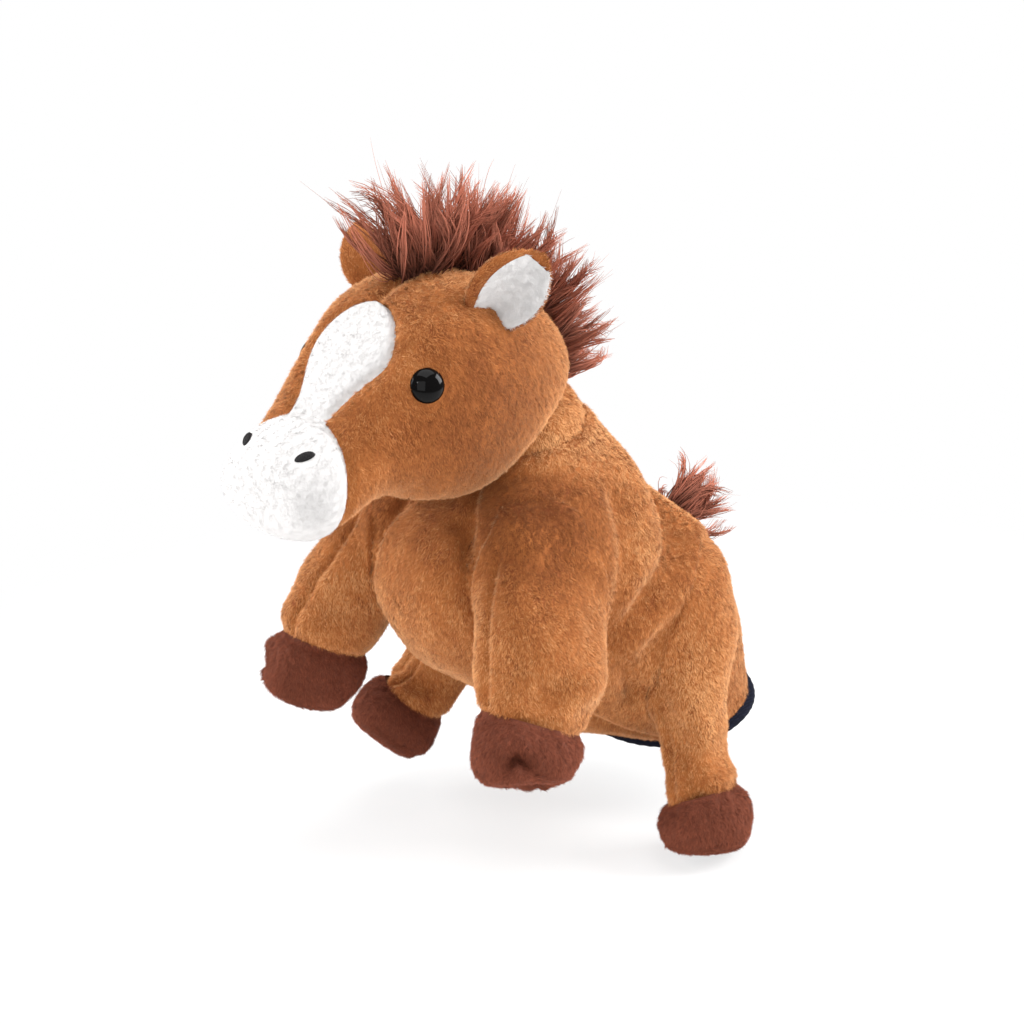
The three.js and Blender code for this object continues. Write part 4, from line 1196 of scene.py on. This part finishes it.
class Leg:
    """One leg: its rows of rings, its pose, and how it is joined to the body."""

    def __init__(self, name):
        self.name = name
        side, self.end = name.split("_")
        self.side, self.front = SIDES[side], self.end == "front"
        self.rows = np.array(FRONT_LEG if self.front else HIND_LEG, float) * [self.side, 1, 1, 1, 1]
        self.pivot = self.middle(SHOULDER_RING if self.front else HIP_RING)
        self.rest = 0.0 if self.front else HIND_REST[side]
        self.sharp, self.slant = (0.45, 0.3) if self.front else (0.15, 0.0)

    def middle(self, at):
        """Middle of a ring, as the leg hangs."""
        return rows_at(self.rows, np.array(at))[:3] * [1, -1, 1]

    def towards(self, turn, degrees):
        """How far a turn is towards a side of the leg: 1 there and -1 opposite."""
        return np.cos(turn - self.side * math.radians(degrees))

    def hoof_ring(self, turn):
        """Ring where the hoof is sewn on: on a front leg lower towards the rear outer side."""
        return HOOF_RING - self.slant * self.towards(turn, FRONT_INNER)

    def end_ring(self, turn):
        """Ring of the sole's edge: on a front leg higher towards the front outer side."""
        return LEG_END - self.slant * (1 + self.towards(turn, FRONT_OUTER))

    def fullness(self, at, turn):
        """How much fuller the leg is than its rings: a front leg is wider at its rear outer edge and slimmer
        at the shoulder, and a hind leg is slimmer above the hoof at its front inner side."""
        if not self.front:
            return swelling(at, *HIND_SLIM) * np.clip(self.towards(turn, FRONT_INNER), 0, 1)
        rear = swelling(at, *REAR_SWELL) * np.clip(self.towards(turn, REAR_OUTER), 0, 1)
        slim = swelling(at, *FRONT_SLIM) * np.clip(self.towards(turn, FRONT_OUTER), 0, 1)
        return rear - SHOULDER_SLIM * ease((2.8 - at) / 1.2) + slim

    def folded(self, points, normal):
        """Points of the leg pressed in along its folds, which run along it by ring and turn."""
        for path, width, depth in LEG_FOLDS[self.end]:
            at, turn = np.array(path, float).T
            line, _, _ = self.surface(at, np.radians(turn) * self.side)
            points = fold(points, normal, line, width, depth)
        return points

    def posed(self, points):
        """Points of the leg as it hangs, turned to its pose at rest."""
        return turned(points, self.pivot, -LEFT, self.rest)

    def surface(self, at, turn, inset=0.0):
        """Points of the leg's cloth, the middles of its rings and its way down."""
        grow = self.fullness(at, turn) - plush("pile_inset") - inset
        points, middle, ahead = limb(self.rows, at, turn, grow, self.sharp)
        return self.posed(points), self.posed(middle), self.posed(ahead + self.pivot) - self.pivot

    def reach(self, at, turn):
        """How softly the leg grows out of the body: most on its outer side, towards the front of a front leg
        and the rear of a hind leg, all round the shoulder, and least where a fold parts it from the body."""
        share = (0.5 + 0.5 * self.towards(turn, -60 if self.front else -120)) ** 2
        if not self.front:
            return LEAST_REACH + 0.5 * plush("flare") * share
        return LEAST_REACH + plush("flare") * np.maximum(share, ease((2.9 - at) / 1.4))

    def form(self, rows=44, columns=60):
        """The leg as a form that the body is joined to."""
        down, turn = ring_grid(rows, columns)
        points, middle, _ = self.surface(LEG_END * down, turn)
        out = normals(points, middle, around=True)
        return points.reshape(-1, 3), out.reshape(-1, 3), self.reach(LEG_END * down, turn).ravel()


class PUPPET_OT_legs(bpy.types.Operator):
    """Sews the four legs, with dark hooves and soles, and lets them grow out of the body"""

    bl_idname = "puppet.legs"
    bl_label = "Legs"

    def execute(self, context):
        body = body_form()
        for order, name in enumerate(LEGS):
            leg = Leg(name)
            made = [
                *self.sleeve(leg, body, SEED["leg"] + 10 * order),
                *self.hoof(leg, SEED["hoof"] + 10 * order),
                *self.sole(leg, SEED["sole"] + 10 * order),
            ]
            for piece in made:
                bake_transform(piece)
        return {"FINISHED"}

    def sleeve(self, leg, body, seed):
        """The leg down to the hoof: oval rings melted into the body, with a seam down the front edge and soft
        creases over the hoof."""
        down, turn = ring_grid(120, 150)
        end = leg.hoof_ring(turn)
        at = end * down
        points, middle, _ = leg.surface(at, turn)
        points, away = joined(points, normals(points, middle, True), body, leg.reach(at, turn))
        points = leg.folded(points, normals(points, middle, around=True))
        normal = normals(points, middle, around=True)
        front = np.where(np.cos(turn) > 0, np.sin(turn) * rows_at(leg.rows, at)[..., 3], np.inf)
        pull = np.maximum(seam(front) * ease((away - 1) / 8), seam((end - at) * SLEEVE_RING_MM))
        low = ease((at - 2.6) / 1.2) * ease((end - at) / 0.5)
        crease = 0.8 * ripple(points * [0.6, 0.6, 1.2], 17, seed) * low
        soft = 0.8 * ripple(points, 28, seed + 1) * ease((end - at) / 0.6)
        points = points + along(normal, soft + crease - pull)
        return sewn(
            f"{leg.name}_leg", "brown", points, normals(points, middle, around=True), LEG_NAP, seed,
            [f"{leg.name}_leg", f"{leg.name}_stuffing"], FILL[leg.end], True, away > -LEG_INSIDE,
            cover=1.0 * (away > -LEG_PILE_INSIDE),
        )

    def hoof(self, leg, seed):
        """The hoof: the leg's rings from its seam to the sole's edge, on a front leg with a gathered dent."""
        down, turn = ring_grid(40, 150)
        start, end = leg.hoof_ring(turn), leg.end_ring(turn)
        at = start + (end - start) * down
        points, middle, _ = leg.surface(at, turn, HOOF_INSET)
        normal = normals(points, middle, around=True)
        pull = 0.8 * seam((at - start) * HOOF_TOP_MM, (end - at) * HOOF_FOOT_MM)
        if leg.front:
            pull = pull + self.dent(leg, down, turn)
        points = points + along(normal, 0.4 * ease(down * 3) - pull + 0.5 * ripple(points, 15, seed))
        return sewn(
            f"{leg.name}_hoof", "hoof", points, normals(points, middle, around=True), DOWN, seed,
            [f"{leg.name}_hoof"], FILL["hoof"], True, scale=HOOF_SCALE,
        )

    def dent(self, leg, down, turn):
        """How far the front hoof is pulled in at its front outer side, with swellings above and below."""
        wide = 24 * np.sin(turn - leg.side * math.radians(FRONT_OUTER))
        low = 17 * (down - 0.62) - 0.4 * np.abs(wide)
        depth = 5.0 * bell(low, 0, 2.4) - 1.5 * bell(low, -4.5, 2.2) - 1.2 * bell(low, 4.5, 2.2)
        return bell(wide, 0, 6.5) * (leg.towards(turn, FRONT_OUTER) > 0) * depth

    def sole(self, leg, seed):
        """The sole: the last ring drawn in to a low dome, gathered to a dimple on a front hoof."""
        inwards, turn = ring_grid(44, 150)
        radius = 1 - 0.985 * inwards
        rim, middle, ahead = leg.surface(leg.end_ring(turn), turn, SOLE_INSET)
        height = 3.0 * np.sqrt(np.clip(1 - radius**2.4, 0, 1)) - 0.8 * bell(radius, 1, 0.06)
        if leg.front:
            pucker = bell(radius, 0.34, 0.24) * np.cos(7 * turn + 1.3 * np.sin(2 * turn))
            height = height - 4.0 * bell(radius, 0, 0.3) + 0.9 * pucker
        points = middle + along(rim - middle, radius) + along(ahead, height)
        normal = normals(points, middle - 4 * ahead, around=True)
        return sewn(
            f"{leg.name}_sole", "hoof", points, normal, SOLE_NAP, seed, [f"{leg.name}_sole"], FILL["hoof"],
            True, caps=(-1,),
        )


# Mane and tail

MANE_FRONT, MANE_END, MANE_TURN = 3.66, 0.02, math.radians(9)  # head rings, and half the strip's angle
MANE_SPREAD, TAIL_SPREAD, TAIL_RING = 1.15, 1.0, 3.0
STRAYS = 0.09  # share of strands that leave their lock


def locks(node, feet, outs, lengths, seed, apart):
    """Long pile in locks: the strands of a lock start apart and draw together to a tip, and some stray."""
    hair = bpy.context.scene.puppet.hair
    rng = np.random.default_rng(seed)
    each = (len(feet), hair.lock_strands)
    stray = rng.random((*each, 1)) < STRAYS
    tall = lengths[:, None, None]
    reach = tall * np.where(stray, rng.uniform(0.5, 1.1, (*each, 1)), rng.uniform(0.72, 1, (*each, 1)))
    roots = feet[:, None] + apart * rng.normal(size=(*each, 3))
    loose = np.where(stray, 0.08, 0.012) * reach * rng.normal(size=(*each, 3))
    tips = feet[:, None] + unit(outs)[:, None] * reach + loose + 0.1 * (roots - feet[:, None])
    bend = 0.09 * rng.normal(size=(len(feet), 1, 3))
    bend = bend + np.where(stray, 0.06, 0.02) * rng.normal(size=(*each, 3))
    width = hair.strand_width / MM * rng.uniform(0.6, 1.15, (*each, 1)) * np.where(stray, 0.6, 1)
    shade = 0.5 + 0.2 * rng.normal(size=(len(feet), 1)) + 0.16 * rng.normal(size=each)
    flat = (array.reshape(-1, 3) for array in np.broadcast_arrays(roots, tips, bend * tall))
    made = strands(f"{node}_strands", *flat, width.ravel(), finish("hair"), shade.ravel())
    return dress(made, "long_pile", node)


class PUPPET_OT_mane(bpy.types.Operator):
    """Plants the mane in the top seam of the head"""

    bl_idname = "puppet.mane"
    bl_label = "Mane"

    def execute(self, context):
        hair = context.scene.puppet.hair
        count, rng = hair.mane_locks, np.random.default_rng(SEED["mane"])
        share = (np.arange(count) + rng.random(count)) / count
        rows = np.linspace(MANE_FRONT, MANE_END, 80)
        run = run_along(HEAD, rows)
        at = np.interp(share * run[-1], run, rows)
        turn = MANE_TURN * np.clip(rng.normal(size=count) * 0.55, -1, 1)
        feet = sheath(HEAD, at, turn, -0.8)
        outs = unit(feet - middle_of(HEAD, at))
        fan = np.stack([4 * turn + 0.3 * rng.normal(size=count), 0.26 * rng.normal(size=count), 0 * at], -1)
        front = along(np.array([0.0, -0.75, -0.1]), bell(share, 0, 0.13))
        rear = along(np.array([0.0, 0.5, -0.3]), bell(share, 1, 0.25))
        lengths = (hair.mane_length + (hair.nape_length - hair.mane_length) * ease(share * 1.2)) / MM
        short = rng.random(count) < 0.3
        lengths = lengths * np.where(short, rng.uniform(0.45, 0.7, count), rng.uniform(0.82, 1.04, count))
        made = locks("mane", feet, outs + fan + front + rear, lengths, SEED["mane"] + 1, MANE_SPREAD)
        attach(made, "head")
        return {"FINISHED"}


class PUPPET_OT_tail(bpy.types.Operator):
    """Plants the tail in the back seam of the body"""

    bl_idname = "puppet.tail"
    bl_label = "Tail"

    def execute(self, context):
        hair = context.scene.puppet.hair
        count, rng = hair.tail_locks, np.random.default_rng(SEED["tail"])
        ring = np.array(TAIL_RING)
        foot = sheath(TORSO, ring, np.array(0.0), -1.5)
        out = unit(foot - middle_of(TORSO, ring)) + np.array([0, 0.2, 0.35])
        feet = foot + rng.normal(size=(count, 3)) * 1.5
        outs = out + 0.36 * rng.normal(size=(count, 3)) * [1, 0.6, 1]
        lengths = hair.tail_length / MM * rng.uniform(0.75, 1.1, count)
        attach(locks("tail", feet, outs, lengths, SEED["tail"] + 1, TAIL_SPREAD), "tail")
        return {"FINISHED"}


# Lining

SHEET_THICK = 0.5
LINING_TOP, LINING_INSET, LINING_DEPTH = 0.35, 1.2, 4.0  # first ring, and how far below the body's outline
TAPE_HALF, TAPE_HIGH, TAPE_DOWN, TAPE_INSET = 3.1, 3.0, 1.5, 1.7
POCKET_LEAN = math.radians(30)
# Radius and height along the pocket
POCKET = [[13.4, 25], [13.3, 32], [13.2, 40], [12.4, 46], [10, 50], [6, 51.4], [1.5, 51.8]]
POCKET_ROWS, POCKET_TUBE = 40, 20  # rows of the pocket's grid, and those of its straight part


class PUPPET_OT_lining(bpy.types.Operator):
    """Lines the body with navy cloth, binds the hand opening and sews the finger pocket"""

    bl_idname = "puppet.lining"
    bl_label = "Lining"

    def execute(self, context):
        self.sleeve(finish("navy_weave"))
        self.binding(finish("navy_weave"))
        self.pocket(finish("navy_weave"))
        return {"FINISHED"}

    def sheet(self, piece, node, body, rings):
        """Gives a sheet its thickness and fixes it to a body of the frame; its rings are not used."""
        solid = piece.modifiers.new("Cloth", "SOLIDIFY")
        solid.thickness = SHEET_THICK * MM
        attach(dress(piece, "navy_cloth", node), body)

    def sleeve(self, material):
        """The lining: the body's rings, drawn in below the plush, with soft folds along the hand."""
        down, turn = ring_grid(90, 160)
        at = LINING_TOP + (TORSO_END + 0.1 - LINING_TOP) * down
        points = folded(torso_surface(at, turn, -LINING_INSET), middle_of(TORSO, at), around=True)
        normal = normals(points, middle_of(TORSO, at), around=True)
        soft = 0.9 * np.sin(9 * turn + 2 * np.sin(3 * down)) * bell(down, 0.5, 0.4) - LINING_DEPTH
        points = points + along(normal, soft)
        made = skin_object("hand_lining_cloth", points, -normal, material, around=True)
        self.sheet(made, "hand_lining", "torso", points)

    def binding(self, material):
        """The binding: a folded tape carried round the edge of the opening, with a stitched furrow."""
        turn, across = np.meshgrid(turns(220), turns(28), indexing="ij")
        edge = torso_surface(np.full_like(turn, TORSO_END), turn, -TAPE_INSET)
        outwards = unit(edge - middle_of(TORSO, np.full_like(turn, TORSO_END)))
        outwards = unit(outwards - along(OPENING_AXIS, outwards @ OPENING_AXIS))
        puff = 1 + 0.04 * np.sin(turn * 55)
        wide = TAPE_HALF * full(np.cos(across)) * puff
        high = TAPE_HIGH * full(np.sin(across)) + TAPE_DOWN
        wide = wide - np.sign(wide) * 0.45 * bell(high, -0.4, 0.5)
        points = edge + along(outwards, wide) + along(OPENING_AXIS, high)
        normal = points - edge - TAPE_DOWN * OPENING_AXIS
        made = skin_object("opening_binding_tape", points, normal, material, around=True, closed=True)
        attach(dress(made, "navy_cloth", "opening_binding", fill=FILL["binding"]), "torso")

    def pocket(self, material):
        """The finger pocket: a cup of cloth turned about its axis, open towards the hand."""
        axis = np.array([0.0, -math.sin(POCKET_LEAN), math.cos(POCKET_LEAN)])
        profile = rows_at(POCKET, np.linspace(0, len(POCKET) - 1, POCKET_ROWS))
        points = lathe(profile, NECK, axis, spokes(turns(96), LEFT, unit(np.cross(LEFT, axis))))
        normal = normals(points, NECK + 38 * axis, around=True)
        made = skin_object("finger_pocket_cloth", points, -normal, material, around=True, caps=(-1,))
        self.sheet(made, "finger_pocket", "head", points[:POCKET_TUBE])


# Stage

FLOOR_SIZE, FLOOR_GAP = 4000.0, 0.5
SHADOW_NEAR, SHADOW_FAR = 0.12, 0.36  # where the floor's shadow starts to fade and has faded, in metres
LIGHT_AIM = np.array([0.0, -0.08, 0.08])
# Lamps: place and size in metres, and the setting that holds their power
LAMPS = {
    "top_softbox": ((0.1, -0.05, 1.2), 1.1, "top_light"),
    "key_softbox": ((0.75, 0.8, 0.75), 0.7, "key_light"),
    "left_softbox": ((-0.85, -0.85, 0.5), 0.9, "left_light"),
    "fill_softbox": ((0.8, -1.1, 0.6), 0.9, "fill_light"),
    "catch_lamp": ((0.3, -1.0, 0.75), 0.07, "catch_light"),
}


class PUPPET_OT_stage(bpy.types.Operator):
    """Sets the floor, the lights and the camera"""

    bl_idname = "puppet.stage"
    bl_label = "Stage"

    def execute(self, context):
        scene, stage = context.scene, context.scene.puppet.stage
        self.floor(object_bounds()[0].z / MM - FLOOR_GAP)
        for name, (place, size, power) in LAMPS.items():
            lamp = bpy.data.lights.new(name, "AREA")
            lamp.size, lamp.energy = size, getattr(stage, power)
            self.aimed(scene, name, lamp, place, LIGHT_AIM - np.array(place))
        self.camera(scene, stage)
        self.world(scene, stage)
        scene.view_settings.view_transform = "Standard"
        return {"FINISHED"}

    def floor(self, height):
        """A pale floor that fades to plain white away from the puppet, so that only its soft shadow shows."""
        look = Look("floor_paper", {
            "Base Color": (0.93, 0.93, 0.93, 1), "Roughness": 0.9, "Specular IOR Level": 0.1,
        })
        reach = look.add("VectorMath", operation="LENGTH")
        look.link(look.add("TexCoord").outputs["Object"], reach.inputs[0])
        limits = {"From Min": SHADOW_NEAR, "From Max": SHADOW_FAR, "To Min": 0.7, "To Max": 1.0}
        far = look.add("MapRange", limits, interpolation_type="SMOOTHSTEP")
        look.link(reach.outputs["Value"], far.inputs["Value"])
        share = look.add("Math", operation="MULTIPLY")
        look.link(look.add("LightPath").outputs["Is Camera Ray"], share.inputs[0])
        look.link(far.outputs["Result"], share.inputs[1])
        mix = look.add("MixShader")
        look.link(share.outputs["Value"], mix.inputs["Fac"])
        look.link(look.shader.outputs["BSDF"], mix.inputs[1])
        look.link(look.add("Emission", {"Strength": 1.0}).outputs["Emission"], mix.inputs[2])
        look.link(mix.outputs["Shader"], look.nodes["Material Output"].inputs["Surface"])
        down, over = grid(2, 2)
        x, y = FLOOR_SIZE * (over - 0.5), FLOOR_SIZE * (down - 0.5)
        points = np.stack([x, y, np.full_like(over, height)], -1)
        made = skin_object("floor", points, np.broadcast_to(-DOWN, points.shape), look.material)
        made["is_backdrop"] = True

    def aimed(self, scene, name, data, place, way):
        """A lamp or camera at a place, looking along a way."""
        made = bpy.data.objects.new(name, data)
        made.location = place
        made.rotation_mode = "QUATERNION"
        made.rotation_quaternion = Vector(way).to_track_quat("-Z", "Y")
        scene.collection.objects.link(made)
        return made

    def camera(self, scene, stage):
        """The camera at the given azimuth, elevation and distance from its aim."""
        a, e = stage.azimuth, stage.elevation
        back = np.array([math.sin(a) * math.cos(e), -math.cos(a) * math.cos(e), math.sin(e)])
        data = bpy.data.cameras.new("camera")
        data.lens, data.sensor_width = stage.lens, 36
        data.clip_start, data.clip_end = 0.01, 20
        scene.camera = self.aimed(scene, "camera", data, np.array(stage.aim) + back * stage.distance, -back)

    def world(self, scene, stage):
        """Even white light from all round, and a white background."""
        world = bpy.data.worlds.new("studio")
        world.use_nodes = True
        nodes, link = world.node_tree.nodes, world.node_tree.links.new
        even, white = nodes["Background"], nodes.new("ShaderNodeBackground")
        put(even, {"Color": (1, 1, 1, 1), "Strength": stage.ambient})
        put(white, {"Color": (1, 1, 1, 1), "Strength": 1})
        light, mix = nodes.new("ShaderNodeLightPath"), nodes.new("ShaderNodeMixShader")
        link(light.outputs["Is Camera Ray"], mix.inputs["Fac"])
        link(even.outputs["Background"], mix.inputs[1])
        link(white.outputs["Background"], mix.inputs[2])
        link(mix.outputs["Shader"], nodes["World Output"].inputs["Surface"])
        scene.world = world


OPERATORS = (
    PUPPET_OT_body, PUPPET_OT_head, PUPPET_OT_eyes, PUPPET_OT_nostrils, PUPPET_OT_ears, PUPPET_OT_legs,
    PUPPET_OT_mane, PUPPET_OT_tail, PUPPET_OT_lining, PUPPET_OT_stage,
)


class PUPPET_PT_panel(bpy.types.Panel):
    """Lists the puppet's pieces and settings"""

    bl_idname = "PUPPET_PT_panel"
    bl_label = "Horse hand puppet"
    bl_space_type = "VIEW_3D"
    bl_region_type = "UI"
    bl_category = "Puppet"

    def draw(self, context):
        for operator in OPERATORS:
            self.layout.operator(operator.bl_idname)
        puppet = context.scene.puppet
        for group in (puppet.plush, puppet.colours, puppet.hair, puppet.stage):
            box = self.layout.box()
            for name in group.__annotations__:
                box.prop(group, name)


CLASSES = (
    PlushSettings, ColourSettings, HairSettings, StageSettings, PuppetSettings, *OPERATORS,
    PUPPET_PT_panel,
)


def register():
    for item in CLASSES:
        bpy.utils.register_class(item)
    settings = bpy.props.PointerProperty(name="Puppet", description="Puppet settings", type=PuppetSettings)
    bpy.types.Scene.puppet = settings


def unregister():
    del bpy.types.Scene.puppet
    for item in reversed(CLASSES):
        bpy.utils.unregister_class(item)


def main():
    """Registers the add-on and makes every piece in order."""
    register()
    for operator in OPERATORS:
        getattr(bpy.ops.puppet, operator.bl_idname.split(".")[1])()


if __name__ == "__main__":
    main()
